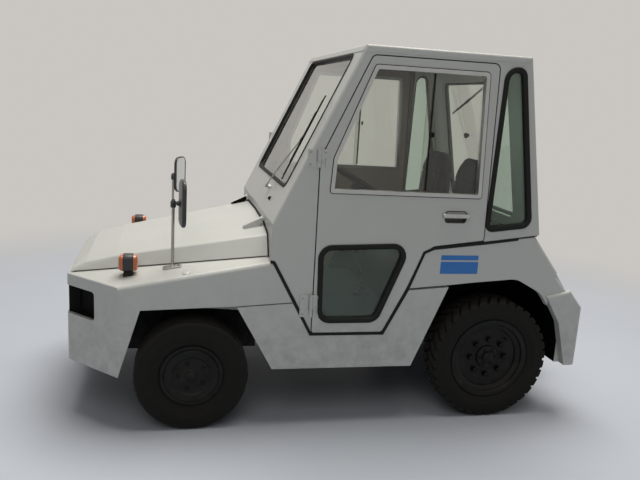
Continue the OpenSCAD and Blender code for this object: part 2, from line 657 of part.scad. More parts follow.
// Outline of a corner guard, by the distance from its rear edge
guard_outline = [for (p = [[-247, 722], [-97, 753], [0, 636], [-5, 410], [-15, 304], [-83, 304],
    [-150, 560], [-222, 676]]) [tail_s + p[0], p[1]]];
guard_front_s = guard_outline[0][0] - 60;
guard_y0 = half_w - 140;
guard_out = 12;
module corner_guards() {
    color("#c9cccb") both_sides() difference() {
        intersection() {
            side_plate(guard_outline, guard_y0, half_w + guard_out);
            upright(200, 900) polygon(rounded([[front_axle_x - tail_s, guard_y0 - 1],
                [front_axle_x - guard_front_s, guard_y0 - 1], [front_axle_x - guard_front_s, half_w + guard_out],
                [front_axle_x - tail_s, half_w + guard_out]], [0, 0, 0, 45]));
        }
        // Room for the tail plate and the fender side
        block(guard_front_s, tail_face_s + seat_gap, guard_y0 - 1, inner_y + seat_gap, 200, 900);
        side_plate([[guard_front_s, 500], [arch_end[0] + seat_gap, 500], [arch_end[0] + seat_gap, 716 - seat_gap],
            [tail_s - 57, 751], [tail_s - 57, 900], [guard_front_s, 900]], inner_y - 1, half_w + seat_gap);
        // Round top edges on the outer side
        plate_edge(guard_outline[0], guard_outline[1], half_w + guard_out, 20, 40);
        plate_edge(guard_outline[1], guard_outline[2], half_w + guard_out, 20, 40);
    }
}
rear_lamp = [150, 32, 70];
module rear_lamps() {
    color("#b3281e") both_sides()
        translate([front_axle_x - tail_face_s - rear_lamp[1] - seat_gap, guard_y0 - rear_lamp[0] - 30, 560])
            cube([rear_lamp[1], rear_lamp[0], rear_lamp[2]]);
}
jaw_w = 120;
module hitch() {
    jaw_end = tail_s + hitch_reach;
    bore_s = jaw_end - 55;
    plate_h = jaw_gap + 2 * jaw_t + 90;
    color("#26282a") difference() {
        union() {
            block(tail_face_s + seat_gap, tail_face_s + 25, -110, 110, jaw_z - plate_h / 2, jaw_z + plate_h / 2);
            for (z = [jaw_z - jaw_gap / 2 - jaw_t, jaw_z + jaw_gap / 2]) {
                block(tail_face_s + 20, bore_s, -jaw_w / 2, jaw_w / 2, z, z + jaw_t);
                translate([front_axle_x - bore_s, 0, z]) scale([55 / 60, 1, 1]) cylinder(d = jaw_w, h = jaw_t);
            }
        }
        translate([front_axle_x - bore_s, 0, jaw_z - jaw_gap]) cylinder(d = tow_pin_d, h = 2 * jaw_gap);
    }
}

/* Cab */
roof_t = 34;
cab_edge_r = 14;
// Cuts the cab's four sloping corners round
module cab_edges() {
    both_sides() {
        round_edge([front_axle_x - front_s(roof_z + 20), half_w, roof_z + 20], [0, 1, 0],
            [cos(front_lean), 0, sin(front_lean)], (roof_z + 20 - cab_front_z) / cos(front_lean), 0, cab_edge_r);
        round_edge([front_axle_x - rear_s(cab_rear_z - 20), half_w, cab_rear_z - 20], [0, 1, 0],
            [-cos(rear_lean), 0, sin(rear_lean)], (roof_z + 40 - cab_rear_z) / cos(rear_lean), 0, cab_edge_r);
    }
}
module cab_side() {
    // The lower edge runs through the door opening from the sill to the seam behind the door
    seam_s = door_outline[4][0] + panel_gap;
    rear_seam = [seam_s, seam_z(seam_s) + panel_gap];
    under = [rear_seam, rear_seam + [-46, 75], [700, 900], door_outline[0] + [-panel_gap, 8]];
    across(inner_y, half_w) difference() {
        polygon(side(concat([[cab_front_s, deck_rear_z + 4], [cab_front_s, cab_front_z]],
            [[roof_front_s - roof_t * tan(front_lean), roof_z - roof_t - seat_gap],
             [roof_rear_s + roof_t * tan(rear_lean), roof_z - roof_t - seat_gap]],
            [[cab_rear_s - 1, seam_z(cab_rear_s) + panel_gap]], under,
            [fender_foot + [6, 6], [deck_rear_s + 4, deck_rear_z + 4]])));
        polygon(side(grown(rounded(door_outline, door_radii), panel_gap)));
        polygon(side(rounded(quarter_window_outline, quarter_window_radii)));
    }
}
// The opening of the wind-screen and of the rear window in their planes, smaller by d all round
module screen_shape(d = 0) {
    translate([0, (front_v(screen_z[0]) + front_v(screen_z[1])) / 2])
        polygon(rounded(box2(screen_w - 2 * d, front_v(screen_z[1]) - front_v(screen_z[0]) - 2 * d), screen_r - d));
}
module rear_window_shape(d = 0) {
    translate([0, (rear_v(rear_window_z[0]) + rear_v(rear_window_z[1])) / 2])
        polygon(rounded(box2(rear_window_w - 2 * d, rear_v(rear_window_z[1]) - rear_v(rear_window_z[0]) - 2 * d),
            rear_window_r - d));
}
fire_wall_t = 30;
module cab_frame() {
    w = 2 * half_w - wall;
    top = roof_z - roof_t - seat_gap;
    color("#c9cccb") {
        difference() {
            union() {
                both_sides() cab_side();
                front_plane(-wall, 0) difference() {
                    polygon([[-w / 2, 0], [w / 2, 0], [w / 2, front_v(top)], [-w / 2, front_v(top)]]);
                    screen_shape();
                }
                rear_plane(0, wall) difference() {
                    polygon([[-w / 2, 0], [w / 2, 0], [w / 2, rear_v(top)], [-w / 2, rear_v(top)]]);
                    rear_window_shape();
                }
            }
            cab_edges();
        }
        // Fire wall under the wind-screen, standing on the floor
        block(cab_front_s, cab_front_s + fire_wall_t, -inner_y + seat_gap, inner_y - seat_gap,
            floor_z + floor_t + seat_gap, cab_front_z);
        block(cab_front_s, cab_front_s + fire_wall_t, -w / 2, w / 2, deck_z(cab_front_s, inner_y) + 20, cab_front_z);
        both_sides() {
            hinge_leaves();
            hood_ears();
        }
    }
}
module roof() {
    foot_z = roof_z - roof_t;
    color("#c9cccb") difference() {
        intersection() {
            side_plate(rounded([[front_s(foot_z) - 2, foot_z], [roof_front_s, roof_z], [roof_rear_s, roof_z],
                [rear_s(foot_z) + 2, foot_z]], [0, 18, cab_edge_r, 0]), -half_w, half_w);
            // Round edges along the sides
            translate([front_axle_x - cab_rear_s, 0, roof_z - half_w]) rotate([90, 0, 90])
                linear_extrude(cab_rear_s) polygon(rounded(box2(2 * half_w, 2 * half_w), cab_edge_r));
        }
        cab_edges();
    }
}
floor_z = rail_z + rail_h + seat_gap;
floor_t = 16;
box_front_s = wheelbase - 500;
module cab_floor() {
    board_s = cab_front_s + fire_wall_t + 2;
    color("#2a2b2c") {
        block(cab_front_s, box_front_s - seat_gap, -inner_y + 12, inner_y - 12, floor_z, floor_z + floor_t);
        // Sloping foot board
        side_plate([[board_s, floor_z + 10], [board_s, 760], [board_s + 18, 760], [board_s + 144, floor_z + 10]],
            -inner_y + 50, inner_y - 50);
    }
}
box_top_z = 905;
box_rear_s = wheelbase + 135;
box_y = rear_wheel_y - rear_tyre_w / 2 - 45;
box_t = 20;
module seat_box() {
    color("#2e2f31") {
        difference() {
            block(box_front_s, box_rear_s, -box_y, box_y, floor_z, box_top_z);
            block(box_front_s + box_t, box_rear_s - box_t, box_t - box_y, box_y - box_t,
                floor_z - 1, box_top_z - box_t);
        }
        // Shelves over the wheels
        both_sides() block(box_front_s + 120, box_rear_s, box_y - 1, inner_y - 1, 835, 835 + box_t);
    }
}
dash_face = [[650, 1225], [615, 1000]];
function dash_s(z) = dash_face[1][0]
    + (z - dash_face[1][1]) * (dash_face[0][0] - dash_face[1][0]) / (dash_face[0][1] - dash_face[1][1]);
module dashboard() {
    wall_s = cab_front_s + fire_wall_t + seat_gap;
    color("#232425") side_plate(rounded([[front_s(1110, wall + seat_gap), 1110], [front_s(1225, wall + seat_gap), 1225],
        dash_face[0] + [-50, 37], dash_face[0], dash_face[1], [wall_s, 950], [wall_s, 1070]],
        [0, 10, 20, 30, 30, 0, 0]), -inner_y + 10, inner_y - 10);
}
column_top = [949, 1272];
column_y = 280;
column_r = 32;
shaft_r = 11;
module steering_column() {
    color("#1f2021") translate([front_axle_x - column_top[0], column_y, column_top[1]])
        rotate([0, -steering_rake, 0]) {
            translate([0, 0, -760]) cylinder(r = column_r, h = 700);
            translate([0, 0, -70]) cylinder(r = shaft_r, h = 66);
        }
    // Bracket on the dashboard
    color("#1f2021") side_plate([[dash_s(1050) + seat_gap, 1050], [dash_s(1100) + seat_gap, 1100],
        [845, 1100], [815, 1050]], column_y - 24, column_y + 24);
}
module steering_wheel() {
    rim_r = (steering_wheel_d - steering_rim_d) / 2;
    color("#141516") translate([front_axle_x - column_top[0], column_y, column_top[1]])
        rotate([0, -steering_rake, 0]) {
            rotate_extrude($fn = 64) translate([rim_r, 0]) circle(d = steering_rim_d, $fn = 20);
            difference() {
                translate([0, 0, -48]) cylinder(r = 42, h = 50);
                translate([0, 0, -50]) cylinder(r = shaft_r + shaft_gap, h = 47);
            }
            for (a = [90, 210, 330]) rotate([0, 0, a]) translate([30, -13, -14]) cube([rim_r - 32, 26, 9]);
        }
}
seat_w = 430;
seat_y = 285;
cushion_l = 400;
cushion_h = 110;
back_t = 75;
back_h = 500;
module seat() {
    cushion_z = box_top_z + seat_gap;
    front_s0 = box_front_s + 25;
    translate([0, seat_y - seat_w / 2, 0]) {
        block(front_s0, front_s0 + cushion_l, 0, seat_w, cushion_z, cushion_z + cushion_h);
        translate([front_axle_x - front_s0 - cushion_l - 10, 0, cushion_z + 60])
            rotate([0, -6, 0]) translate([-40, 0, 0]) rotate([90, 0, 90]) linear_extrude(back_t)
                polygon(rounded([[0, 0], [seat_w, 0], [seat_w, back_h], [0, back_h]], [20, 20, 150, 150]));
    }
}
module seat_left() { color("#2b2c2e") on_side(true) seat(); }
module seat_right() { color("#2b2c2e") on_side(false) seat(); }

/* Glass */
pane_set = 14;
seal_w = 2;
module cab_glass() {
    color([0.6, 0.7, 0.68, 0.4]) {
        front_plane(-pane_set - glass_t, -pane_set) screen_shape(seal_w / 2);
        rear_plane(pane_set, pane_set + glass_t) rear_window_shape(seal_w / 2);
        both_sides() across(half_w - pane_set - glass_t, half_w - pane_set)
            polygon(side(grown(rounded(quarter_window_outline, quarter_window_radii), -seal_w / 2)));
    }
}

/* Doors */
hinge_s = 603;
hinge_y = half_w + 12;
hinge_r = 9;
hinge_pin_r = 5;
leaf_t = 6;
// [z of the foot, height] of each hinge
hinges = [[1398, 90], [615, 118]];
module hinge_leaves() {
    for (h = hinges) {
        third = h[1] / 3;
        translate([front_axle_x - hinge_s, hinge_y, h[0]]) cylinder(r = hinge_r, h = third);
        translate([front_axle_x - hinge_s, hinge_y, h[0]]) cylinder(r = hinge_pin_r, h = h[1]);
        block(hinge_s - 58, hinge_s, half_w, half_w + leaf_t, h[0], h[0] + third);
        block(hinge_s - 58, hinge_s - hinge_r - 5, half_w, half_w + leaf_t, h[0], h[0] + h[1]);
    }
}
module door_leaves() {
    for (h = hinges) {
        third = h[1] / 3;
        difference() {
            union() {
                translate([front_axle_x - hinge_s, hinge_y, h[0] + third + 1]) cylinder(r = hinge_r, h = 2 * third);
                block(hinge_s, hinge_s + 48, half_w + 1, half_w + leaf_t, h[0] + third + 1, h[0] + h[1]);
            }
            translate([front_axle_x - hinge_s, hinge_y, h[0] + third])
                cylinder(r = hinge_pin_r + shaft_gap, h = 2 * third + 5);
        }
        block(hinge_s + 34, hinge_s + 48, half_w - 1, half_w + leaf_t, h[0], h[0] + h[1]);
    }
}
module door() {
    difference() {
        across(half_w - door_t, half_w) difference() {
            polygon(side(rounded(door_outline, door_radii)));
            polygon(side(rounded(window_outline, window_radii)));
            polygon(side(rounded(low_window_outline, low_window_r)));
        }
        // Finger room behind the handle
        across(half_w - pocket_d, half_w + 1) translate(at((handle_s[0] + handle_s[1]) / 2, handle_z - 8))
            polygon(rounded(box2(pocket_w, pocket_h), 14));
    }
    door_leaves();
}
pocket_w = 116;
pocket_h = 58;
pocket_d = 14;
module door_left() { color("#c9cccb") on_side(true) door(); }
module door_right() { color("#c9cccb") on_side(false) door(); }
frame_w = 20;
module window_frame() {
    across(half_w - door_t + 4, half_w + 4) difference() {
        polygon(side(rounded(grown(window_outline, -seat_gap), window_radii)));
        polygon(side(rounded(grown(window_outline, -frame_w), pane_radii)));
    }
}
module window_frame_left() { color("#b9bdbe") on_side(true) window_frame(); }
module window_frame_right() { color("#b9bdbe") on_side(false) window_frame(); }
pane_radii = [6, 12, 12, 12, 6];
// The front pane's rear edge, and how far the rear pane passes behind it
pane_split = wheelbase - 480;
pane_lap = 30;
module door_glass() {
    inner = rounded(grown(window_outline, -frame_w - seat_gap), pane_radii);
    z0 = window_outline[0][1] - 50;
    across(half_w - 18, half_w - 18 + glass_t) intersection() {
        polygon(side(inner));
        polygon(side([[500, z0], [pane_split, z0], [pane_split, roof_z], [500, roof_z]]));
    }
    across(half_w - 28, half_w - 28 + glass_t) intersection() {
        polygon(side(inner));
        polygon(side([[pane_split - pane_lap, z0], [wheelbase, z0], [wheelbase, roof_z],
            [pane_split - pane_lap, roof_z]]));
    }
    across(half_w - 20, half_w - 20 + glass_t)
        polygon(side(rounded(grown(low_window_outline, -seat_gap), low_window_r)));
}
module door_glass_left() { color([0.6, 0.7, 0.68, 0.4]) on_side(true) door_glass(); }
module door_glass_right() { color([0.6, 0.7, 0.68, 0.4]) on_side(false) door_glass(); }
handle_s = [wheelbase - 376, wheelbase - 222];
handle_z = 1168;
handle_w = 22;
handle_out = 20;
module door_handle() {
    half = handle_w / 2;
    for (s = [handle_s[0], handle_s[1] - 18])
        block(s, s + 18, half_w + seat_gap, half_w + handle_out - 6, handle_z - half, handle_z + half);
    // Grip with round ends
    translate([0, half_w + handle_out, 0]) rotate([90, 0, 0]) linear_extrude(10)
        translate(at((handle_s[0] + handle_s[1]) / 2, handle_z))
            polygon(rounded(box2(handle_s[1] - handle_s[0], handle_w), half - 1));
}
module door_handle_left() { color("#d5d8da") on_side(true) door_handle(); }
module door_handle_right() { color("#d5d8da") on_side(false) door_handle(); }

/* Hood */
// Cross sections: [s, bottom y, fold y, fold z, crown y, crown z, middle z]
hood_sections = [
    [cowl_s - panel_gap, half_w - 80, half_w - 144, 1022, half_w - 320, 1050, 1060],
    [-390, half_w - 237, half_w - 268, 871, half_w - 410, 894, 903],
    [-545, half_w - 265, half_w - 292, 829, half_w - 430, 848, 854],
    [-616, half_w - 280, half_w - 300, 795, half_w - 430, 800, 803]];
hood_fold_r = [26, 20, 16, 6];
// The section c narrowed and lowered by the shell's thickness, and deepened below
module hood_slice(i, inset, below) {
    c = hood_sections[i];
    z0 = deck_z(c[0], c[1]) + panel_gap - below;
    half = [[c[1] - inset, z0], [c[2] - inset, c[3] - inset], [c[4] - inset, c[5] - inset]];
    r = inset > 0 ? 0 : hood_fold_r[i];
    translate([front_axle_x - c[0], 0, 0]) rotate([90, 0, 90]) linear_extrude(0.5)
        polygon(rounded(concat(half, [[0, c[6] - inset]], [for (k = [2 : -1 : 0]) [-half[k][0], half[k][1]]]),
            [0, r, 8 * r, 0, 8 * r, r, 0]));
}
module hood() {
    color("#d3d6d4") {
        difference() {
            hull() for (i = [0 : 3]) hood_slice(i, 0, 0);
            hull() {
                translate([-2, 0, 0]) hood_slice(0, shell_t, 60);
                hood_slice(1, shell_t, 60);
                translate([-10, 0, 0]) hood_slice(2, shell_t, 60);
            }
            // The lower edge follows the deck
            both_sides() deck_piece([[-700, 300], [500, 300], [500, 800], [-700, 800]], -200, panel_gap);
        }
        both_sides() hood_strap();
    }
}
// Pins that the hood turns on, as [s, z], each through a strap on the hood and two ears on the cab
hood_pin = [371, 1079];
hood_pin_r = 5;
hood_eye_r = 8;
strap_y = half_w - 300;
strap_w = 36;
ear_t = 6;
module hood_strap() {
    difference() {
        union() {
            side_plate([[270, 1016], [270, 1038], hood_pin + [-4, 6], hood_pin + [2, -4], [356, 1040]],
                strap_y - strap_w / 2, strap_y + strap_w / 2);
            bar_y(hood_pin[0], hood_pin[1], hood_eye_r, strap_y - strap_w / 2, strap_y + strap_w / 2);
        }
        bar_y(hood_pin[0], hood_pin[1], hood_pin_r + shaft_gap, strap_y - strap_w, strap_y + strap_w);
    }
}
module hood_ears() {
    for (y = [strap_y - strap_w / 2 - ear_t - 0.5, strap_y + strap_w / 2 + 0.5]) {
        bar_y(hood_pin[0], hood_pin[1], hood_eye_r, y, y + ear_t);
        block(hood_pin[0], cowl_s + 1, y, y + ear_t, hood_pin[1] - hood_eye_r, hood_pin[1] + hood_eye_r);
    }
    bar_y(hood_pin[0], hood_pin[1], hood_pin_r, strap_y - strap_w / 2 - 1, strap_y + strap_w / 2 + 1);
}

/* Lamps, mirrors and wipers */
// A rectangle of [s, y] about a point, w along s and d along y
function around(s, y, w, d) = [for (k = [[-1, -1], [-1, 1], [1, 1], [1, -1]]) [s + k[0] * w / 2, y + k[1] * d / 2]];
signal_s = -322;
signal_y = half_w - 138;
signal_l = 95;
signal_w = 84;
signal_h = 108;
signal_r = 30;
module front_signals() {
    color("#e8791a") both_sides() {
        top = deck_z(signal_s, signal_y) + signal_h;
        deck_piece(around(signal_s, signal_y, signal_l / 2, signal_w / 2), seat_gap, 24);
        translate([front_axle_x - signal_s, signal_y + signal_w / 2, top - 45]) rotate([90, 0, 0])
            linear_extrude(signal_w) polygon(rounded(box2(signal_l, 90), signal_r));
    }
}
mirror_s = -104;
mirror_y = half_w - 140;
mirror_out = 62;
mirror_z = 1185;
mirror_t = 22;
post_r = 8;
post_top_z = 1196;
module mirror_on_post(toe) {
    foot = deck_z(mirror_s, mirror_y) + 2;
    deck_piece(around(mirror_s, mirror_y, 96, 40), seat_gap, 6);
    translate([front_axle_x - mirror_s, mirror_y, foot]) cylinder(r = post_r, h = post_top_z - foot);
    // Clamp on the post, and the arm to the head's back
    translate([front_axle_x - mirror_s, mirror_y, post_top_z - 34]) cylinder(r = post_r + 6, h = 28);
    translate([front_axle_x - mirror_s - 28, mirror_y - 7, post_top_z - 27]) cube([28, mirror_out + 14, 14]);
    translate([front_axle_x - mirror_s - 24, mirror_y + mirror_out, mirror_z]) {
        sphere(r = 13);
        rotate([0, 0, toe]) translate([-mirror_t - 9, 0, 0]) rotate([90, 0, 90]) {
            linear_extrude(mirror_t) polygon(rounded(box2(mirror_w - 8, mirror_h - 8), 44));
            linear_extrude(mirror_t - 8) polygon(rounded(box2(mirror_w, mirror_h), 48));
        }
    }
}
module mirrors() {
    color("#3a3c3e") {
        mirror_on_post(left_toe);
        mirror([0, 1, 0]) mirror_on_post(right_toe);
    }
}
wiper_z = [1297, 1741];
wiper_pivot = [183, 1222];
// The rear wiper's pivot and its blade's two ends, as [y, z]
rear_pivot = [250, roof_z - 78];
rear_blade = [[-462, roof_z - 323], [10, roof_z - 163]];
// A bar of width w from p to q
function bar2(p, q, w) = let (d = unit(q - p), n = [-d[1], d[0]] * w / 2) [p - n, q - n, q + n, p + n];
module wipers() {
    blade_y = screen_w / 2 - 45;
    color("#2a2c2d") {
        front_plane(22, 34) {
            translate([blade_y, (front_v(wiper_z[0]) + front_v(wiper_z[1])) / 2])
                polygon(box2(14, front_v(wiper_z[1]) - front_v(wiper_z[0])));
            polygon([[wiper_pivot[0] - 7, front_v(wiper_pivot[1])],
                [wiper_pivot[0] + 7, front_v(wiper_pivot[1] - 6)],
                [blade_y + 6, front_v(1530)], [blade_y - 4, front_v(1540)]]);
        }
        front_plane(seat_gap, 30) translate([wiper_pivot[0], front_v(wiper_pivot[1])]) circle(r = 14);
        blade = [for (p = rear_blade) [p[0], rear_v(p[1])]];
        pivot = [rear_pivot[0], rear_v(rear_pivot[1])];
        rear_plane(-34, -22) {
            polygon(bar2(blade[0], blade[1], 14));
            polygon(bar2((blade[0] + blade[1]) / 2, pivot, 10));
        }
        rear_plane(-34, -seat_gap) translate(pivot) circle(r = 14);
    }
}

chassis();
engine_block();
front_axle();
rear_axle();
nose();
grille();
headlamps();
front_fenders();
side_skirts();
quarter_panels();
tail();
corner_guards();
rear_lamps();
hitch();
cab_frame();
roof();
cab_floor();
seat_box();
dashboard();
steering_column();
seat_left();
seat_right();
cab_glass();
front_signals();
mirrors();
wipers();
steering_wheel();
hood();
door_left();
door_right();
window_frame_left();
window_frame_right();
door_glass_left();
door_glass_right();
door_handle_left();
door_handle_right();
knuckle_left();
knuckle_right();
wheel_front_left();
wheel_front_right();
wheel_rear_left();
wheel_rear_right();
tyre_front_left();
tyre_front_right();
tyre_rear_left();
tyre_rear_right();
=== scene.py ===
# Looks of the airport baggage tug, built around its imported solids.
# X points forward, Y to the left and Z up. Side outlines are (s, z) in metres, where s is the
# distance behind the front axle and z the height above the ground, as in the part's source.
import math

import bmesh
import bpy
from mathutils import Matrix, Vector
from mathutils.bvhtree import BVHTree
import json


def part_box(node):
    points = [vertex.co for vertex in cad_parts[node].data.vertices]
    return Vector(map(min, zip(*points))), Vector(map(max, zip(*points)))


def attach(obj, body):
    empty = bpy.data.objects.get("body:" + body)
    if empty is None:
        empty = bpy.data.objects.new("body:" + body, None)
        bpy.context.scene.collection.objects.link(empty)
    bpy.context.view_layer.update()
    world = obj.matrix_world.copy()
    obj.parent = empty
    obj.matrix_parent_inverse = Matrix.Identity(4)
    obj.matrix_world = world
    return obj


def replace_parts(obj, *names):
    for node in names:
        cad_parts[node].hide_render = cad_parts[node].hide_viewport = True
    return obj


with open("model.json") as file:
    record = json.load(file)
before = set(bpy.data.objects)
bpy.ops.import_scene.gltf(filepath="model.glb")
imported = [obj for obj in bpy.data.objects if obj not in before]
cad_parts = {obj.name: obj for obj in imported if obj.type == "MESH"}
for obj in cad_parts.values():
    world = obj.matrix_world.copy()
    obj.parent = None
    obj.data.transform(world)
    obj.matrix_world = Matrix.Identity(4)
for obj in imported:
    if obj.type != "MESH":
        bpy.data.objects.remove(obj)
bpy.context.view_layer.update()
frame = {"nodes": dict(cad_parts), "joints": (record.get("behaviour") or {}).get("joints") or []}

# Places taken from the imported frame
joint_at = {joint["name"]: Vector(joint["pos_m"]) for joint in frame["joints"]}
FRONT_HUB = joint_at["spin_front_left"]
SIDE_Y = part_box("side_skirts")[1].y
DOOR_INNER_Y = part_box("window_frame_left")[0].y
ROOF_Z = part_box("roof")[1].z
# Both sides of the tug, by the sign of Y and the word in the pieces' names
SIDES = ((1, "left"), (-1, "right"))

# Side outlines, as in the part's source, and the radii of their corners
WINDOW = [(0.671, 1.270), (0.680, 1.446), (0.865, 1.915), (1.477, 1.916), (1.500, 1.263)]
WINDOW_RADII = [0.012, 0.020, 0.020, 0.020, 0.012]
LOW_WINDOW = [(0.652, 0.590), (0.640, 0.985), (1.122, 1.002), (0.962, 0.590)]
LOW_WINDOW_RADII = [0.060] * 4
QUARTER_WINDOW = [(1.572, 1.945), (1.668, 1.938), (1.803, 1.122), (1.552, 1.092)]
QUARTER_WINDOW_RADII = [0.060, 0.040, 0.045, 0.030]
DOOR = [(0.617, 0.525), (0.613, 1.440), (0.850, 1.958), (1.526, 1.960), (1.540, 1.035),
        (1.258, 1.000), (1.202, 0.962), (1.120, 0.762), (1.002, 0.525)]
DOOR_RADII = [0.012, 0.040, 0.030, 0.030, 0.012, 0.030, 0.020, 0.020, 0.020]
# The cab's sloping front and rear, each by a point (s, z) at its foot and by its s at the roof's top
CAB_FRONT = (0.384, 1.105)
ROOF_FRONT_S = 0.813
CAB_REAR = (1.876, 1.068)
ROOF_REAR_S = 1.709
# The wind-screen and the rear window, as (width, height of its foot, height of its top)
SCREEN = (1.090, 1.272, 1.965)
REAR_WINDOW = (0.940, 1.130, 1.895)
# The cab's lining starts this deep under the outer faces, and reaches back to LINING_END_S
SIDE_LINING = 0.020
ROOF_LINING = 0.028
WALL_LINING = 0.024
LINING_END_S = 1.562


# Small tools for nodes and colours

def colour(code):
    """The linear value that a shader takes for an sRGB hex code."""
    parts = [int(code[i:i + 2], 16) / 255 for i in (0, 2, 4)]
    return [c / 12.92 if c <= 0.04045 else ((c + 0.055) / 1.055) ** 2.4 for c in parts] + [1.0]


def add(tree, kind, inputs=None, **settings):
    """Adds a node, sets its properties, and fills its inputs with values or with other nodes' sockets."""
    node = tree.nodes.new(kind)
    for name, value in settings.items():
        setattr(node, name, value)
    for key, value in (inputs or {}).items():
        if isinstance(value, bpy.types.NodeSocket):
            tree.links.new(value, node.inputs[key])
        else:
            node.inputs[key].default_value = value
    return node


def new_material(name):
    """A material with one Principled shader, and the Object coordinates that its patterns use."""
    material = bpy.data.materials.new(name)
    material.use_nodes = True
    tree = material.node_tree
    tree.nodes.clear()
    shader = add(tree, "ShaderNodeBsdfPrincipled")
    add(tree, "ShaderNodeOutputMaterial", {"Surface": shader.outputs[0]})
    place = add(tree, "ShaderNodeTexCoord").outputs["Object"]
    return material, tree, shader, place


def feed(tree, shader, **values):
    """Fills a shader's inputs. An underscore in a name stands for a space."""
    for key, value in values.items():
        socket = shader.inputs[key.replace("_", " ")]
        if isinstance(value, bpy.types.NodeSocket):
            tree.links.new(value, socket)
        else:
            socket.default_value = value


def show_instead(tree, closure):
    """Sends a closure to a material's output in place of its Principled shader."""
    output = next(node for node in tree.nodes if node.type == "OUTPUT_MATERIAL")
    tree.links.new(closure, output.inputs["Surface"])


def seen_directly(tree):
    """1 on rays that show a surface to the eye: from the camera, off gloss or through glass."""
    rays = add(tree, "ShaderNodeLightPath").outputs
    seen = rays["Is Camera Ray"]
    for kind in ("Is Glossy Ray", "Is Transmission Ray"):
        seen = add(tree, "ShaderNodeMath", {0: seen, 1: rays[kind]}, operation="MAXIMUM").outputs[0]
    return seen


# Materials
DUST = "6F6A60"
SHEET_EDGE = 0.0025


def painted(name, light, dark, rough, dust, lining=None, coat=0.25, gloss=0.5):
    """Sprayed enamel on steel sheet: a soft gloss with orange peel, faint fading and dust low down.

    A lining is the colour of what covers the sheet's inner side in the cab."""
    material, tree, shader, place = new_material(name)
    fading = add(tree, "ShaderNodeTexNoise", {"Vector": place, "Scale": 2.3, "Detail": 5.0, "Roughness": 0.6})
    tone = add(tree, "ShaderNodeMix", {0: fading.outputs[0], 6: colour(light), 7: colour(dark)},
               data_type="RGBA").outputs[2]
    # Dust gathers from 0.85 m above the ground downwards, in patches
    height = add(tree, "ShaderNodeSeparateXYZ", {0: place}).outputs["Z"]
    low = add(tree, "ShaderNodeMapRange", {"Value": height, "From Min": 0.85, "From Max": 0.25})
    specks = add(tree, "ShaderNodeTexNoise", {"Vector": place, "Scale": 14.0, "Detail": 8.0,
                                              "Roughness": 0.7})
    patches = add(tree, "ShaderNodeMapRange", {"Value": specks.outputs[0], "From Min": 0.40,
                                               "From Max": 0.72})
    share = add(tree, "ShaderNodeMath", {0: low.outputs[0], 1: patches.outputs[0]}, operation="MULTIPLY")
    share = add(tree, "ShaderNodeMath", {0: share.outputs[0], 1: dust}, operation="MULTIPLY")
    tone = add(tree, "ShaderNodeMix", {0: share.outputs[0], 6: tone, 7: colour(DUST)},
               data_type="RGBA").outputs[2]
    if lining:
        tone = add(tree, "ShaderNodeMix", {0: inside_cab(tree, place), 6: tone, 7: colour(lining)},
                   data_type="RGBA").outputs[2]
    sheen = add(tree, "ShaderNodeMapRange", {"Value": fading.outputs[0], "To Min": rough - 0.05,
                                             "To Max": rough + 0.10})
    # Orange peel, with dimples about 2.5 mm across
    peel = add(tree, "ShaderNodeTexNoise", {"Vector": place, "Scale": 400.0, "Detail": 1.0})
    edges = add(tree, "ShaderNodeBevel", {"Radius": SHEET_EDGE}, samples=4)
    bump = add(tree, "ShaderNodeBump", {"Height": peel.outputs[0], "Strength": 0.12, "Distance": 0.0003,
                                        "Normal": edges.outputs[0]})
    feed(tree, shader, Base_Color=tone, Roughness=sheen.outputs[0], Normal=bump.outputs[0],
         Coat_Weight=coat, Coat_Roughness=0.18, Specular_IOR_Level=gloss)
    return material


def inside_cab(tree, place):
    """1 on surfaces that look into the cab, 0 outside, by the distance from its outer planes."""
    planes = [((0, 1, 0), SIDE_Y - SIDE_LINING), ((0, -1, 0), SIDE_Y - SIDE_LINING),
              ((0, 0, 1), ROOF_Z - ROOF_LINING),
              (tuple(SCREEN_PLANE.out), SCREEN_PLANE.out.dot(SCREEN_PLANE.origin) - WALL_LINING),
              (tuple(BACK_PLANE.out), BACK_PLANE.out.dot(BACK_PLANE.origin) - WALL_LINING),
              ((-1, 0, 0), LINING_END_S - FRONT_HUB.x), ((1, 0, 0), FRONT_HUB.x - CAB_FRONT[0] - WALL_LINING)]
    mask = None
    for normal, distance in planes:
        reach = add(tree, "ShaderNodeVectorMath", {0: place, 1: normal}, operation="DOT_PRODUCT")
        inside = add(tree, "ShaderNodeMath", {0: reach.outputs["Value"], 1: distance}, operation="LESS_THAN")
        mask = inside.outputs[0] if mask is None else add(
            tree, "ShaderNodeMath", {0: mask, 1: inside.outputs[0]}, operation="MULTIPLY").outputs[0]
    return mask


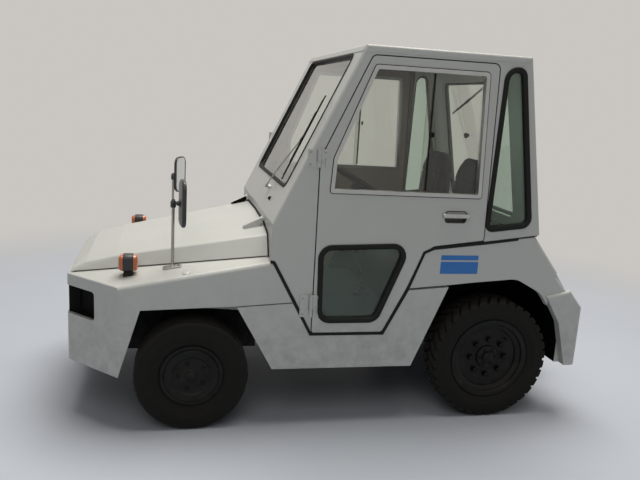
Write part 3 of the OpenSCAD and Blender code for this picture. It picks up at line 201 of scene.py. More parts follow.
def tyre_rubber(name, hub, rim_r, outer_r):
    """Carbon-filled tyre rubber: matt, brownish where it has weathered, with moulded rings round its wall."""
    material, tree, shader, place = new_material(name)
    from_hub = add(tree, "ShaderNodeVectorMath", {0: place, 1: tuple(hub)}, operation="SUBTRACT").outputs[0]
    flat = add(tree, "ShaderNodeVectorMath", {0: from_hub, 1: (1.0, 0.0, 1.0)}, operation="MULTIPLY")
    radius = add(tree, "ShaderNodeVectorMath", {0: flat.outputs[0]}, operation="LENGTH").outputs["Value"]
    weather = add(tree, "ShaderNodeTexNoise", {"Vector": from_hub, "Scale": 9.0, "Detail": 7.0,
                                               "Roughness": 0.65})
    tone = add(tree, "ShaderNodeMix", {0: weather.outputs[0], 6: colour("131312"), 7: colour("22211F")},
               data_type="RGBA").outputs[2]
    # The tread is paler, where it has worn
    worn = add(tree, "ShaderNodeMapRange", {"Value": radius, "From Min": outer_r - 0.014,
                                            "From Max": outer_r})
    tone = add(tree, "ShaderNodeMix", {0: worn.outputs[0], 6: tone, 7: colour("2B2A28")},
               data_type="RGBA").outputs[2]
    # Moulded rings, 9 mm apart, between the bead and the shoulder
    turns = add(tree, "ShaderNodeMath", {0: radius, 1: 2 * math.pi / 0.009}, operation="MULTIPLY")
    rings = add(tree, "ShaderNodeMath", {0: turns.outputs[0]}, operation="SINE")
    wall = add(tree, "ShaderNodeMapRange", {"Value": radius, "From Min": rim_r + 0.05,
                                            "From Max": rim_r + 0.03})
    rings = add(tree, "ShaderNodeMath", {0: rings.outputs[0], 1: wall.outputs[0]}, operation="MULTIPLY")
    # A cast grain, drawn about 4 mm coarse so that it shows
    grain = add(tree, "ShaderNodeTexNoise", {"Vector": from_hub, "Scale": 260.0, "Detail": 3.0})
    relief = add(tree, "ShaderNodeMath", {0: rings.outputs[0], 1: grain.outputs[0]}, operation="ADD")
    edges = add(tree, "ShaderNodeBevel", {"Radius": 0.003}, samples=4)
    bump = add(tree, "ShaderNodeBump", {"Height": relief.outputs[0], "Strength": 0.35, "Distance": 0.0012,
                                        "Normal": edges.outputs[0]})
    rough = add(tree, "ShaderNodeMapRange", {"Value": weather.outputs[0], "To Min": 0.62, "To Max": 0.88})
    feed(tree, shader, Base_Color=tone, Roughness=rough.outputs[0], Normal=bump.outputs[0],
         Specular_IOR_Level=0.16)
    return material


def moulded(name, light, dark, rough, grain_mm, depth_mm=0.15, gloss=0.5):
    """Moulded plastic or rubber with a fine cast grain, which takes the sharpness off its highlights."""
    material, tree, shader, place = new_material(name)
    clouds = add(tree, "ShaderNodeTexNoise", {"Vector": place, "Scale": 12.0, "Detail": 5.0})
    tone = add(tree, "ShaderNodeMix", {0: clouds.outputs[0], 6: colour(light), 7: colour(dark)},
               data_type="RGBA").outputs[2]
    grain = add(tree, "ShaderNodeTexVoronoi", {"Vector": place, "Scale": 1000.0 / grain_mm})
    edges = add(tree, "ShaderNodeBevel", {"Radius": 0.0015}, samples=4)
    bump = add(tree, "ShaderNodeBump", {"Height": grain.outputs["Distance"], "Strength": 0.3,
                                        "Distance": depth_mm * 0.001, "Normal": edges.outputs[0]})
    spread = add(tree, "ShaderNodeMapRange", {"Value": clouds.outputs[0], "To Min": rough - 0.08,
                                              "To Max": rough + 0.08})
    feed(tree, shader, Base_Color=tone, Roughness=spread.outputs[0], Normal=bump.outputs[0],
         Specular_IOR_Level=gloss)
    return material


def metal(name, light, dark, rough, brushed_mm=0.0, edge=0.001):
    """Bare or plated metal, brushed along X where brushed_mm gives the width of the brush lines."""
    material, tree, shader, place = new_material(name)
    clouds = add(tree, "ShaderNodeTexNoise", {"Vector": place, "Scale": 18.0, "Detail": 4.0})
    tone = add(tree, "ShaderNodeMix", {0: clouds.outputs[0], 6: colour(light), 7: colour(dark)},
               data_type="RGBA").outputs[2]
    spread = add(tree, "ShaderNodeMapRange", {"Value": clouds.outputs[0], "To Min": max(0.02, rough - 0.06),
                                              "To Max": rough + 0.08})
    feed(tree, shader, Base_Color=tone, Roughness=spread.outputs[0], Metallic=1.0)
    edges = add(tree, "ShaderNodeBevel", {"Radius": edge}, samples=4)
    if brushed_mm:
        across = 1000 / brushed_mm
        along = add(tree, "ShaderNodeMapping", {"Vector": place, "Scale": (6.0, across, across)})
        lines = add(tree, "ShaderNodeTexNoise", {"Vector": along.outputs[0], "Scale": 1.0, "Detail": 2.0})
        bump = add(tree, "ShaderNodeBump", {"Height": lines.outputs[0], "Strength": 0.15, "Distance": 0.0002,
                                            "Normal": edges.outputs[0]})
        feed(tree, shader, Normal=bump.outputs[0])
    else:
        feed(tree, shader, Normal=edges.outputs[0])
    return material


def glass(name, tint, shadow_tint, rough=0.0, bump_mm=0.0, dust=0.012, sheen=0.12):
    """Toughened sheet glass: a faint tint and a film of dust. Lamps shine through into the cab."""
    material, tree, shader, place = new_material(name)
    feed(tree, shader, Base_Color=colour(tint), IOR=1.45, Specular_IOR_Level=sheen)
    smears = add(tree, "ShaderNodeTexNoise", {"Vector": place, "Scale": 5.0, "Detail": 6.0,
                                              "Distortion": 0.6})
    film = add(tree, "ShaderNodeMapRange", {"Value": smears.outputs[0], "From Min": 0.35, "From Max": 0.75,
                                            "To Min": rough, "To Max": rough + 0.03})
    clean = add(tree, "ShaderNodeMapRange", {"Value": smears.outputs[0], "From Min": 0.30, "From Max": 0.75,
                                             "To Min": 1.0 - dust * 0.4, "To Max": 1.0 - dust})
    feed(tree, shader, Roughness=film.outputs[0], Transmission_Weight=clean.outputs[0])
    if bump_mm:
        ribs = add(tree, "ShaderNodeTexVoronoi", {"Vector": place, "Scale": 1000 / bump_mm})
        bump = add(tree, "ShaderNodeBump", {"Height": ribs.outputs["Distance"], "Strength": 0.6,
                                            "Distance": 0.002})
        feed(tree, shader, Normal=bump.outputs[0])
    clear = add(tree, "ShaderNodeBsdfTransparent", {"Color": colour(shadow_tint)})
    lamp = add(tree, "ShaderNodeLightPath").outputs["Is Shadow Ray"]
    both = add(tree, "ShaderNodeMixShader", {0: lamp, 1: shader.outputs[0], 2: clear.outputs[0]})
    show_instead(tree, both.outputs[0])
    return material


def lens(name, light, dark, ribs_mm):
    """Moulded acrylic lens, coloured through, with prism ribs behind a glossy face."""
    material, tree, shader, place = new_material(name)
    clouds = add(tree, "ShaderNodeTexNoise", {"Vector": place, "Scale": 30.0})
    tone = add(tree, "ShaderNodeMix", {0: clouds.outputs[0], 6: colour(light), 7: colour(dark)},
               data_type="RGBA").outputs[2]
    height = add(tree, "ShaderNodeSeparateXYZ", {0: place}).outputs["Z"]
    turns = add(tree, "ShaderNodeMath", {0: height, 1: 2 * math.pi * 1000 / ribs_mm}, operation="MULTIPLY")
    ribs = add(tree, "ShaderNodeMath", {0: turns.outputs[0]}, operation="SINE")
    bump = add(tree, "ShaderNodeBump", {"Height": ribs.outputs[0], "Strength": 0.4, "Distance": 0.001})
    feed(tree, shader, Base_Color=tone, Roughness=0.18, Normal=bump.outputs[0], Coat_Weight=1.0,
         Coat_Roughness=0.04, Transmission_Weight=0.15)
    return material


def seat_vinyl():
    """Embossed seat vinyl: near black, with a leather grain of 1.6 mm and a dull sheen on the worn crown."""
    material, tree, shader, place = new_material("embossed_vinyl_black")
    wear = add(tree, "ShaderNodeTexNoise", {"Vector": place, "Scale": 7.0, "Detail": 5.0})
    tone = add(tree, "ShaderNodeMix", {0: wear.outputs[0], 6: colour("121213"), 7: colour("1D1C1C")},
               data_type="RGBA").outputs[2]
    grain = add(tree, "ShaderNodeTexVoronoi", {"Vector": place, "Scale": 620.0}, feature="DISTANCE_TO_EDGE")
    bump = add(tree, "ShaderNodeBump", {"Height": grain.outputs[0], "Strength": 0.5, "Distance": 0.0006})
    rough = add(tree, "ShaderNodeMapRange", {"Value": wear.outputs[0], "To Min": 0.50, "To Max": 0.68})
    feed(tree, shader, Base_Color=tone, Roughness=rough.outputs[0], Normal=bump.outputs[0],
         Specular_IOR_Level=0.14)
    return material


# Flat places to build on

class Plane:
    """A flat place: points are given as (along, up, out) from its origin."""

    def __init__(self, origin, across, up, out):
        self.origin, self.across, self.up, self.out = (Vector(v) for v in (origin, across, up, out))

    def at(self, u, v, w=0.0):
        return self.origin + self.across * u + self.up * v + self.out * w


def side_plane(side):
    """The body's side, by (s, z). side is 1 for left and -1 for right."""
    return Plane((FRONT_HUB.x, side * SIDE_Y, 0), (-1, 0, 0), (0, 0, 1), (0, side, 0))


SCREEN_LEAN = math.atan2(ROOF_FRONT_S - CAB_FRONT[0], ROOF_Z - CAB_FRONT[1])
BACK_LEAN = math.atan2(CAB_REAR[0] - ROOF_REAR_S, ROOF_Z - CAB_REAR[1])
SCREEN_PLANE = Plane((FRONT_HUB.x - CAB_FRONT[0], 0, CAB_FRONT[1]), (0, 1, 0),
                     (-math.sin(SCREEN_LEAN), 0, math.cos(SCREEN_LEAN)),
                     (math.cos(SCREEN_LEAN), 0, math.sin(SCREEN_LEAN)))
BACK_PLANE = Plane((FRONT_HUB.x - CAB_REAR[0], 0, CAB_REAR[1]), (0, 1, 0),
                   (math.sin(BACK_LEAN), 0, math.cos(BACK_LEAN)),
                   (-math.cos(BACK_LEAN), 0, math.sin(BACK_LEAN)))


def up_screen(z):
    """How far up the wind-screen's plane a height is."""
    return (z - CAB_FRONT[1]) / math.cos(SCREEN_LEAN)


def up_back(z):
    """How far up the rear wall's plane a height is."""
    return (z - CAB_REAR[1]) / math.cos(BACK_LEAN)


# Outlines

def area(points):
    """The area inside an outline, positive where it runs anticlockwise."""
    return sum(a[0] * b[1] - a[1] * b[0] for a, b in zip(points, points[1:] + points[:1])) / 2


def rounded(points, radii, steps=6):
    """An outline with its corners rounded."""
    out = []
    count = len(points)
    for i, radius in enumerate(radii):
        before, corner, after = (Vector(points[(i + k) % count]) for k in (-1, 0, 1))
        u, v = (before - corner).normalized(), (after - corner).normalized()
        half = u.angle(v) / 2
        centre = corner + (u + v).normalized() * radius / math.sin(half)
        first = corner + u * radius / math.tan(half) - centre
        last = corner + v * radius / math.tan(half) - centre
        turn = math.atan2(first.x * last.y - first.y * last.x, first.dot(last))
        start = math.atan2(first.y, first.x)
        out += [tuple(centre + radius * Vector((math.cos(a), math.sin(a))))
                for a in (start + turn * k / steps for k in range(steps + 1))]
    return out


def moved(points, distance, closed=True):
    """An outline moved outwards by a distance, or to the right of an open line."""
    count = len(points)
    sense = 1 if not closed or area(points) > 0 else -1
    out = []
    for i in range(count):
        before = Vector(points[i - 1]) if closed or i > 0 else None
        after = Vector(points[(i + 1) % count]) if closed or i < count - 1 else None
        here = Vector(points[i])
        edges = [(here - before).normalized()] if before else []
        edges += [(after - here).normalized()] if after else []
        normals = [Vector((e.y, -e.x)) * sense for e in edges]
        lean = normals[0] + normals[-1]
        out.append(tuple(here + lean * distance / (1 + normals[0].dot(normals[-1]))))
    return out


def rectangle(width, height, centre=(0.0, 0.0)):
    u, v = centre
    return [(u - width / 2, v - height / 2), (u + width / 2, v - height / 2),
            (u + width / 2, v + height / 2), (u - width / 2, v + height / 2)]


def straight_bar(start, end, width):
    """The outline of a bar between two flat points."""
    along = (end - start).normalized()
    beside = Vector((along.y, -along.x)) * width / 2
    return [tuple(start - beside), tuple(end - beside), tuple(end + beside), tuple(start + beside)]


# Meshes
BEVEL_STEPS = 2
BEND_STEPS = 5


def plain_mesh(name, maker):
    """Ends a bmesh as a plain mesh."""
    mesh = bpy.data.meshes.new(name)
    maker.to_mesh(mesh)
    maker.free()
    return mesh


def closed_mesh(name, maker, smooth=None):
    """Ends a bmesh with its faces turned outwards, shaded smooth up to an angle in degrees."""
    bmesh.ops.recalc_face_normals(maker, faces=maker.faces)
    mesh = plain_mesh(name, maker)
    if smooth:
        mesh.shade_smooth()
        mesh.set_sharp_from_angle(angle=math.radians(smooth))
    return mesh


def in_scene(name, data):
    """An object of some data, put into the scene."""
    thing = bpy.data.objects.new(name, data)
    bpy.context.scene.collection.objects.link(thing)
    return thing


def evaluated_mesh(thing):
    """A plain mesh of an object with its modifiers applied."""
    graph = bpy.context.evaluated_depsgraph_get()
    return bpy.data.meshes.new_from_object(thing.evaluated_get(graph))


def piece(name, maker, material, body="body", smooth=40.0):
    """Turns a bmesh into a finished object that rides on a body."""
    bmesh.ops.remove_doubles(maker, verts=maker.verts, dist=1e-6)
    thing = in_scene(name, closed_mesh(name, maker, smooth))
    thing.data.materials.append(material)
    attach(thing, body)
    return thing


def add_strip(maker, plane, outline, section, closed=True):
    """A bar of constant section along a flat outline. Its section's points are (outwards from the line,
    out of the plane)."""
    rings = [[maker.verts.new(plane.at(u, v, out)) for u, v in moved(outline, away, closed)]
             for away, out in section]
    count = len(outline)
    for k, ring in enumerate(rings):
        other = rings[(k + 1) % len(rings)]
        for i in range(count if closed else count - 1):
            j = (i + 1) % count
            maker.faces.new((ring[i], ring[j], other[j], other[i]))
    if not closed:
        maker.faces.new([ring[0] for ring in rings])
        maker.faces.new([ring[-1] for ring in rings])


def add_slab(maker, plane, outline, low, high, bevel=0.0):
    """A flat plate between two heights over a plane, with its outer edge rounded."""
    arc = [math.pi / 2 * k / BEVEL_STEPS for k in range(BEVEL_STEPS + 1)] if bevel else [math.pi / 2]
    add_levels(maker, plane, outline, [(0.0, low)] + [
        (-bevel * (1 - math.cos(a)), high - bevel * (1 - math.sin(a))) for a in arc])


def add_levels(maker, plane, outline, levels):
    """A solid through several copies of a flat outline. Each level is (outwards from the outline,
    out of the plane)."""
    rings = [[maker.verts.new(plane.at(u, v, out)) for u, v in moved(outline, away)]
             for away, out in levels]
    count = len(outline)
    for lower, upper in zip(rings, rings[1:]):
        for i in range(count):
            j = (i + 1) % count
            maker.faces.new((lower[i], lower[j], upper[j], upper[i]))
    maker.faces.new(rings[0])
    maker.faces.new(rings[-1])


def add_turned(maker, origin, axis, profile, steps=32):
    """A turned form about an axis, from a profile of (radius, height)."""
    turn = Vector((0, 0, 1)).rotation_difference(Vector(axis)).to_matrix()
    rings = []
    for radius, height in profile:
        if radius < 1e-6:
            rings.append([maker.verts.new(Vector(origin) + turn @ Vector((0, 0, height)))])
            continue
        rings.append([maker.verts.new(Vector(origin) + turn @ Vector(
            (radius * math.cos(a), radius * math.sin(a), height)))
            for a in (2 * math.pi * i / steps for i in range(steps))])
    for lower, upper in zip(rings, rings[1:]):
        for i in range(steps):
            j = (i + 1) % steps
            corners = [ring[k % len(ring)] for ring, k in ((lower, i), (lower, j), (upper, j), (upper, i))]
            corners = [c for k, c in enumerate(corners) if c not in corners[:k]]
            if len(corners) > 2:
                maker.faces.new(corners)
    for ring in (rings[0], rings[-1]):
        if len(ring) > 1:
            maker.faces.new(ring)


def add_rod(maker, points, radius, sides=12):
    """A round rod along a line of points, with flat ends."""
    points = [Vector(p) for p in points]
    rings = []
    side = None
    for i, point in enumerate(points):
        ahead = points[min(i + 1, len(points) - 1)] - point
        behind = point - points[max(i - 1, 0)]
        along = (ahead.normalized() + behind.normalized()).normalized()
        if side is None:
            side = along.orthogonal().normalized()
        side = (side - along * side.dot(along)).normalized()
        other = along.cross(side)
        rings.append([maker.verts.new(point + (side * math.cos(a) + other * math.sin(a)) * radius)
                      for a in (2 * math.pi * k / sides for k in range(sides))])
    for lower, upper in zip(rings, rings[1:]):
        for i in range(sides):
            j = (i + 1) % sides
            maker.faces.new((lower[i], lower[j], upper[j], upper[i]))
    maker.faces.new(rings[0])
    maker.faces.new(rings[-1])


def bent_in_space(points, radius):
    """A line of points in space with its corners bent round."""
    points = [Vector(p) for p in points]
    out = [points[0]]
    for before, corner, after in zip(points, points[1:], points[2:]):
        u, v = (before - corner).normalized(), (after - corner).normalized()
        half = u.angle(v) / 2
        reach = radius / math.tan(half)
        for k in range(BEND_STEPS + 1):
            t = k / BEND_STEPS
            a, b = corner + u * reach, corner + v * reach
            out.append(a.lerp(corner, t).lerp(corner.lerp(b, t), t))
    return out + [points[-1]]


# Repeats, by Geometry Nodes

def ring_of_copies():
    """A node tree that repeats a shape round Centre: each copy is turned by Turn from the one before."""
    tree = bpy.data.node_groups.new("ring_of_copies", "GeometryNodeTree")
    sockets = [("Geometry", "NodeSocketGeometry"), ("Copies", "NodeSocketInt"),
               ("Centre", "NodeSocketVector"), ("Turn", "NodeSocketVector"), ("Finish", "NodeSocketMaterial")]
    for name, kind in sockets:
        tree.interface.new_socket(name, in_out="INPUT", socket_type=kind)
    tree.interface.new_socket("Geometry", in_out="OUTPUT", socket_type="NodeSocketGeometry")
    given = add(tree, "NodeGroupInput").outputs
    number = add(tree, "GeometryNodeInputIndex").outputs[0]
    turn = add(tree, "ShaderNodeVectorMath", {0: given["Turn"], "Scale": number}, operation="SCALE")
    points = add(tree, "GeometryNodePoints", {"Count": given["Copies"], "Position": given["Centre"]})
    turned = add(tree, "FunctionNodeEulerToRotation", {0: turn.outputs[0]})
    copies = add(tree, "GeometryNodeInstanceOnPoints", {
        "Points": points.outputs[0], "Instance": given["Geometry"], "Rotation": turned.outputs[0]})
    real = add(tree, "GeometryNodeRealizeInstances", {0: copies.outputs[0]})
    done = add(tree, "GeometryNodeSetMaterial", {"Geometry": real.outputs[0], "Material": given["Finish"]})
    add(tree, "NodeGroupOutput", {0: done.outputs[0]})
    return tree


RING = ring_of_copies()


def repeated(name, maker, material, count, centre, turn, body):
    """A ring of copies of one shape, made near the world's origin, as one plain mesh."""
    source = in_scene(name + "_shape", closed_mesh(name, maker, smooth=35.0))
    modifier = source.modifiers.new("copies", "NODES")
    modifier.node_group = RING
    values = {"Copies": count, "Centre": tuple(centre), "Turn": turn, "Finish": material}
    for socket in RING.interface.items_tree:
        if socket.in_out == "INPUT" and socket.name in values:
            modifier[socket.identifier] = values[socket.name]
    thing = in_scene(name, evaluated_mesh(source))
    bpy.data.objects.remove(source)
    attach(thing, body)
    return thing


def add_hexagon(maker, origin, axis, across, height):
    """A bolt head with a washer under it and a chamfer on top."""
    add_turned(maker, origin, axis, [(0, 0), (across * 0.72, 0), (across * 0.72, 0.0015), (0, 0.0015)], 20)
    add_turned(maker, origin, axis, [(0, 0.0015), (across / 2, 0.0015), (across / 2, height - 0.001),
                                     (across * 0.44, height), (0, height)], 6)


# The camera, at the photograph's place, solved from the parallel edges in it. It looks along -Y, turned by
# the yaw towards -X, down by the pitch, and tilted by the roll
CAMERA_AT = Vector((FRONT_HUB.x + 0.113, 3.970, 1.7265))
CAMERA_YAW = math.radians(12.85)
CAMERA_PITCH = math.radians(11.80)
CAMERA_ROLL = math.radians(-3.45)
CAMERA_LENS_MM = 37.59


def make_camera():
    data = bpy.data.cameras.new("camera")
    data.lens = CAMERA_LENS_MM
    data.sensor_width = 36.0
    data.clip_end = 200.0
    camera = in_scene("camera", data)
    ahead = Vector((-math.sin(CAMERA_YAW) * math.cos(CAMERA_PITCH),
                    -math.cos(CAMERA_YAW) * math.cos(CAMERA_PITCH), -math.sin(CAMERA_PITCH)))
    level = Vector((-math.cos(CAMERA_YAW), math.sin(CAMERA_YAW), 0))
    down = ahead.cross(level)
    right = level * math.cos(CAMERA_ROLL) + down * math.sin(CAMERA_ROLL)
    under = down * math.cos(CAMERA_ROLL) - level * math.sin(CAMERA_ROLL)
    turn = Matrix((right, -under, -ahead)).transposed().to_4x4()
    camera.matrix_world = Matrix.Translation(CAMERA_AT) @ turn
    bpy.context.scene.camera = camera


# Light, floor and background
BACKGROUND = "C9C6C1"
FLOOR_LIGHT = "C8CFDA"
FLOOR_DARK = "BDC4D0"
FLOOR_RADIUS = 30.0
# The floor fades into the background between these distances from the tug's middle
FADE_START = 2.9
FADE_END = 5.4
ROOM_LIGHT = 0.085
LAMP_COLOUR = "FFFAF2"
# Ceiling lamps: name, place, aim, size, power
LAMPS = [("ceiling", (-0.65, -1.0, 9.6), (0, 0, 0.5), 6.6, 955.0),
         ("ceiling_left", (1.6, 5.2, 5.4), (0, 0, 0.8), 4.0, 66.0)]


def make_room():
    """Faint light from all round, and a plain background for the camera, for gloss and for glass."""
    world = bpy.data.worlds.new("room")
    bpy.context.scene.world = world
    world.use_nodes = True
    tree = world.node_tree
    tree.nodes.clear()
    dim = add(tree, "ShaderNodeBackground", {"Color": colour("F2F4F7"), "Strength": ROOM_LIGHT})
    bright = add(tree, "ShaderNodeBackground", {"Color": colour(BACKGROUND), "Strength": 1.0})
    both = add(tree, "ShaderNodeMixShader", {0: seen_directly(tree), 1: dim.outputs[0], 2: bright.outputs[0]})
    add(tree, "ShaderNodeOutputWorld", {"Surface": both.outputs[0]})


def make_floor():
    """Painted concrete: pale, faintly blotched and half matt."""
    maker = bmesh.new()
    bmesh.ops.create_circle(maker, cap_ends=True, segments=96, radius=FLOOR_RADIUS)
    floor = in_scene("floor", plain_mesh("floor", maker))
    material, tree, shader, place = new_material("painted_concrete_floor")
    blotches = add(tree, "ShaderNodeTexNoise", {"Vector": place, "Scale": 0.8, "Detail": 6.0})
    tone = add(tree, "ShaderNodeMix", {0: blotches.outputs[0], 6: colour(FLOOR_LIGHT), 7: colour(FLOOR_DARK)},
               data_type="RGBA")
    feed(tree, shader, Base_Color=tone.outputs[2], Roughness=0.55)
    distance = add(tree, "ShaderNodeVectorMath", {0: place}, operation="LENGTH").outputs["Value"]
    far = add(tree, "ShaderNodeMapRange", {"Value": distance, "From Min": FADE_START, "From Max": FADE_END},
              interpolation_type="SMOOTHSTEP")
    fade = add(tree, "ShaderNodeMath", {0: far.outputs[0], 1: seen_directly(tree)}, operation="MULTIPLY")
    pale = add(tree, "ShaderNodeEmission", {"Color": colour(BACKGROUND), "Strength": 1.0})
    both = add(tree, "ShaderNodeMixShader", {0: fade.outputs[0], 1: shader.outputs[0], 2: pale.outputs[0]})
    show_instead(tree, both.outputs[0])
    floor.data.materials.append(material)


def make_lamps():
    for name, place, aim, size, power in LAMPS:
        data = bpy.data.lights.new(name, "AREA")
        data.shape = "SQUARE"
        data.size = size
        data.energy = power
        data.color = colour(LAMP_COLOUR)[:3]
        lamp = in_scene(name, data)
        lamp.location = place
        lamp.rotation_euler = (Vector(aim) - Vector(place)).to_track_quat("-Z", "Y").to_euler()


bpy.context.scene.view_settings.view_transform = "Standard"
make_camera()
make_room()
make_floor()
make_lamps()

# Finishes of this tug

# Grey enamel on steel sheet: a soft, faintly mottled gloss. Inside the cab it gives way to a brown lining,
# and inside the doors to a paler one
GREY = ("C9CBC8", "C1C4C1", 0.40, 0.5)
ENAMEL = painted("sprayed_enamel_grey", *GREY)
CAB_ENAMEL = painted("sprayed_enamel_grey_lined", *GREY, lining="54453B")
DOOR_ENAMEL = painted("sprayed_enamel_grey_trimmed", *GREY, lining="8E8478")
# Enamel on frame, axles and wheels: near black, with hardly a highlight
BLACK_ENAMEL = painted("satin_enamel_black", "0F1010", "161717", 0.55, 0.3, coat=0.0, gloss=0.15)
WHEEL_ENAMEL = painted("wheel_enamel_black", "0B0C0C", "121313", 0.45, 0.1, coat=0.0, gloss=0.18)
# Enamel on the seat box: a dark, clean grey. In the handles' pockets the same dark grey is painted shade
DARK_ENAMEL_AND_POCKET_SHADE = painted("interior_enamel_grey_and_pocket_shade", "3A3938", "312F2E", 0.55, 0.0)
# Extruded rubber: the even black lines round windows and doors
SEAL_RUBBER = moulded("extruded_rubber_black", "0C0D0D", "131414", 0.60, 1.2, gloss=0.25)
# Grained ABS: a dull black that breaks up highlights
GRAINED_ABS = moulded("grained_abs_black", "0F1011", "161718", 0.55, 1.0, gloss=0.14)
# Moulded ABS of the grille: the deepest black, with no shine
GRILLE_ABS = moulded("moulded_abs_grille", "070808", "0C0D0D", 0.7, 1.5, gloss=0.12)
# Mat rubber: dark grey, coarse and dry
FLOOR_RUBBER = moulded("ribbed_mat_rubber", "191919", "242322", 0.8, 3.0, 0.6)
# Moulded plastic of mirrors and signals: dark grey with a slight shine
MIRROR_BACK = moulded("moulded_plastic_grey", "2C2D30", "34353A", 0.35, 1.0, 0.05)
# Toughened glass: nearly clear in the upper windows, green and dusty in the low and quarter windows
WINDOW_GLASS = glass("toughened_glass_clear", "E6E8E3", "E4ECE7")
GREEN_GLASS = glass("toughened_glass_green", "CBDFD3", "C9E4D8", dust=0.05)
# Pressed lamp glass: clear, with coarse ripples that break up the reflector
LAMP_GLASS = glass("pressed_lamp_glass", "F2F6F8", "E8EEF0", 0.02, 9.0, sheen=0.5)
# Anodised aluminium: pale and satin, with brush lines along the frames
ALUMINIUM = metal("anodised_aluminium", "B9BBBC", "A7A9AA", 0.34, 0.8)
# Chrome plate: a bright mirror on the lamps. On the handles it is darker and duller, a painted reflection
# standing for the dark floor that a round grip reflects
CHROME = metal("chrome_plate", "D9DBDD", "C8CACC", 0.09)
HANDLE_CHROME = metal("chrome_plate_dimmed", "B9BBBD", "A6A8AA", 0.16, edge=0.009)
# Zinc plate: a dull, cloudy grey metal
ZINC = metal("zinc_plated_steel", "A9ABA6", "8C8E8A", 0.38)
# Silvered glass: the mirrors' clear reflection
SILVER = metal("silvered_mirror_glass", "E4E7E8", "DFE2E3", 0.03)
# Painted cast iron: a rough mid grey on the engine
CAST_IRON = moulded("painted_cast_iron", "4A4D4E", "36393A", 0.55, 2.5, 0.5)
# Acrylic lenses: deep colour under a glossy face
AMBER = lens("amber_acrylic", "E8740A", "C75A05", 6.0)
RED = lens("red_acrylic", "B01C14", "8E130E", 6.0)
# Vinyl film: an even blue with a slight shine
BLUE_FILM = moulded("blue_vinyl_film", "2C7CCB", "2873BF", 0.35, 2.0, 0.02)
# Embossed vinyl: near black, with a leather grain
VINYL = seat_vinyl()
# Oiled steel: dark metal that only glints at its edges
BLACK_STEEL = metal("oiled_steel_dark", "2A2A2A", "1C1C1C", 0.48)
# Sprayed underseal: a coarse near black. On the panels' inner and under faces and in the wheel arches it is
# also painted shade, standing for the dark behind the panels
UNDERSEAL_AND_SHADE = moulded("underseal_and_painted_shade_black", "090909", "100F0F", 0.9, 4.0, 0.8, gloss=0.08)
# Printed dials: a smooth black face with off-white marks
DIAL_FACE = moulded("printed_dial_black", "0F1011", "131415", 0.4, 2.0, 0.02)
DIAL_WHITE = moulded("printed_dial_white", "DADAD2", "CDCDC6", 0.5, 2.0, 0.02)

# The finish of each CAD node, apart from the tyres
NODE_FINISH = {
    ENAMEL: ["nose", "front_fenders", "side_skirts", "quarter_panels", "tail", "corner_guards", "hood"],
    CAB_ENAMEL: ["cab_frame", "roof"],
    DOOR_ENAMEL: ["door_left", "door_right"],
    BLACK_ENAMEL: ["chassis", "front_axle", "rear_axle", "hitch", "knuckle_left", "knuckle_right",
                   "steering_column"],
    WHEEL_ENAMEL: ["wheel_front_left", "wheel_front_right", "wheel_rear_left", "wheel_rear_right"],
    DARK_ENAMEL_AND_POCKET_SHADE: ["seat_box"],
    GRAINED_ABS: ["dashboard", "steering_wheel"],
    GRILLE_ABS: ["grille"],
    FLOOR_RUBBER: ["cab_floor"],
    MIRROR_BACK: ["mirrors"],
    CAST_IRON: ["engine_block"],
    LAMP_GLASS: ["headlamps"],
    AMBER: ["front_signals"],
    RED: ["rear_lamps"],
    ALUMINIUM: ["window_frame_left", "window_frame_right"],
    HANDLE_CHROME: ["door_handle_left", "door_handle_right"],
    WINDOW_GLASS: ["cab_glass", "door_glass_left", "door_glass_right"],
    SEAL_RUBBER: ["wipers"],
    VINYL: ["seat_left", "seat_right"],
}
# The radius of each wheel's rim, where its tyre starts
RIM_R = {"front": 0.127, "rear": 0.190}


def dress(name, material):
    """Gives a CAD node its one finish."""
    mesh = frame["nodes"][name].data
    mesh.materials.clear()
    mesh.materials.append(material)


def dress_nodes():
    for material, names in NODE_FINISH.items():
        for name in names:
            dress(name, material)
    for end, rim_r in RIM_R.items():
        for word in ("left", "right"):
            wheel = "%s_%s" % (end, word)
            hub = joint_at["spin_" + wheel]
            dress("tyre_" + wheel, tyre_rubber("tyre_rubber_" + wheel, hub, rim_r, hub.z))


dress_nodes()

# Faces of the CAD nodes that take a second finish; on the panels and the seat box that finish is near black,
# painted shade over underseal. A face looks some way where its normal's share that way is over FACING, or on
# the nose's rear faces over NOSE_FACING. Undersides stay grey within GREY_EDGE of the sides, the nose's rear
# faces within NOSE_EDGE, and the tail and the guards out from RETURN_Y
FACING = 0.5
NOSE_FACING = 0.2
GREY_EDGE = 0.045
NOSE_EDGE = 0.015
RETURN_Y = 0.600


def under_or_behind(name, face):
    """Whether a face of an outer panel looks inwards, downwards or into the machine."""
    side = 1 if face.center.y > 0 else -1
    away = abs(face.center.y)
    inward = face.normal.y * side < -FACING
    below = face.normal.z < -FACING and away < SIDE_Y - GREY_EDGE
    ahead = face.normal.x > FACING and name in ("tail", "corner_guards") and away < RETURN_Y
    behind = face.normal.x < -NOSE_FACING and name == "nose" and away < SIDE_Y - NOSE_EDGE
    return inward or below or ahead or behind


def in_wheel_arch(name, face):
    """Whether a face of the seat box, which closes the rear wheel arches, looks outwards or down."""
    side = 1 if face.center.y > 0 else -1
    return face.normal.y * side > FACING or face.normal.z < -FACING


def in_green_window(name, face):
    """Whether a face belongs to a low door window or a quarter window."""
    if name == "cab_glass":
        return abs(face.center.y) > DOOR_INNER_Y
    return face.center.z < WINDOW[0][1] - 0.05


def refinish(names, material, picks):
    """Gives a second finish to those faces of some CAD nodes that picks(name, face) is true for."""
    for name in names:
        mesh = frame["nodes"][name].data
        mesh.materials.append(material)
        for face in mesh.polygons:
            if picks(name, face):
                face.material_index = 1


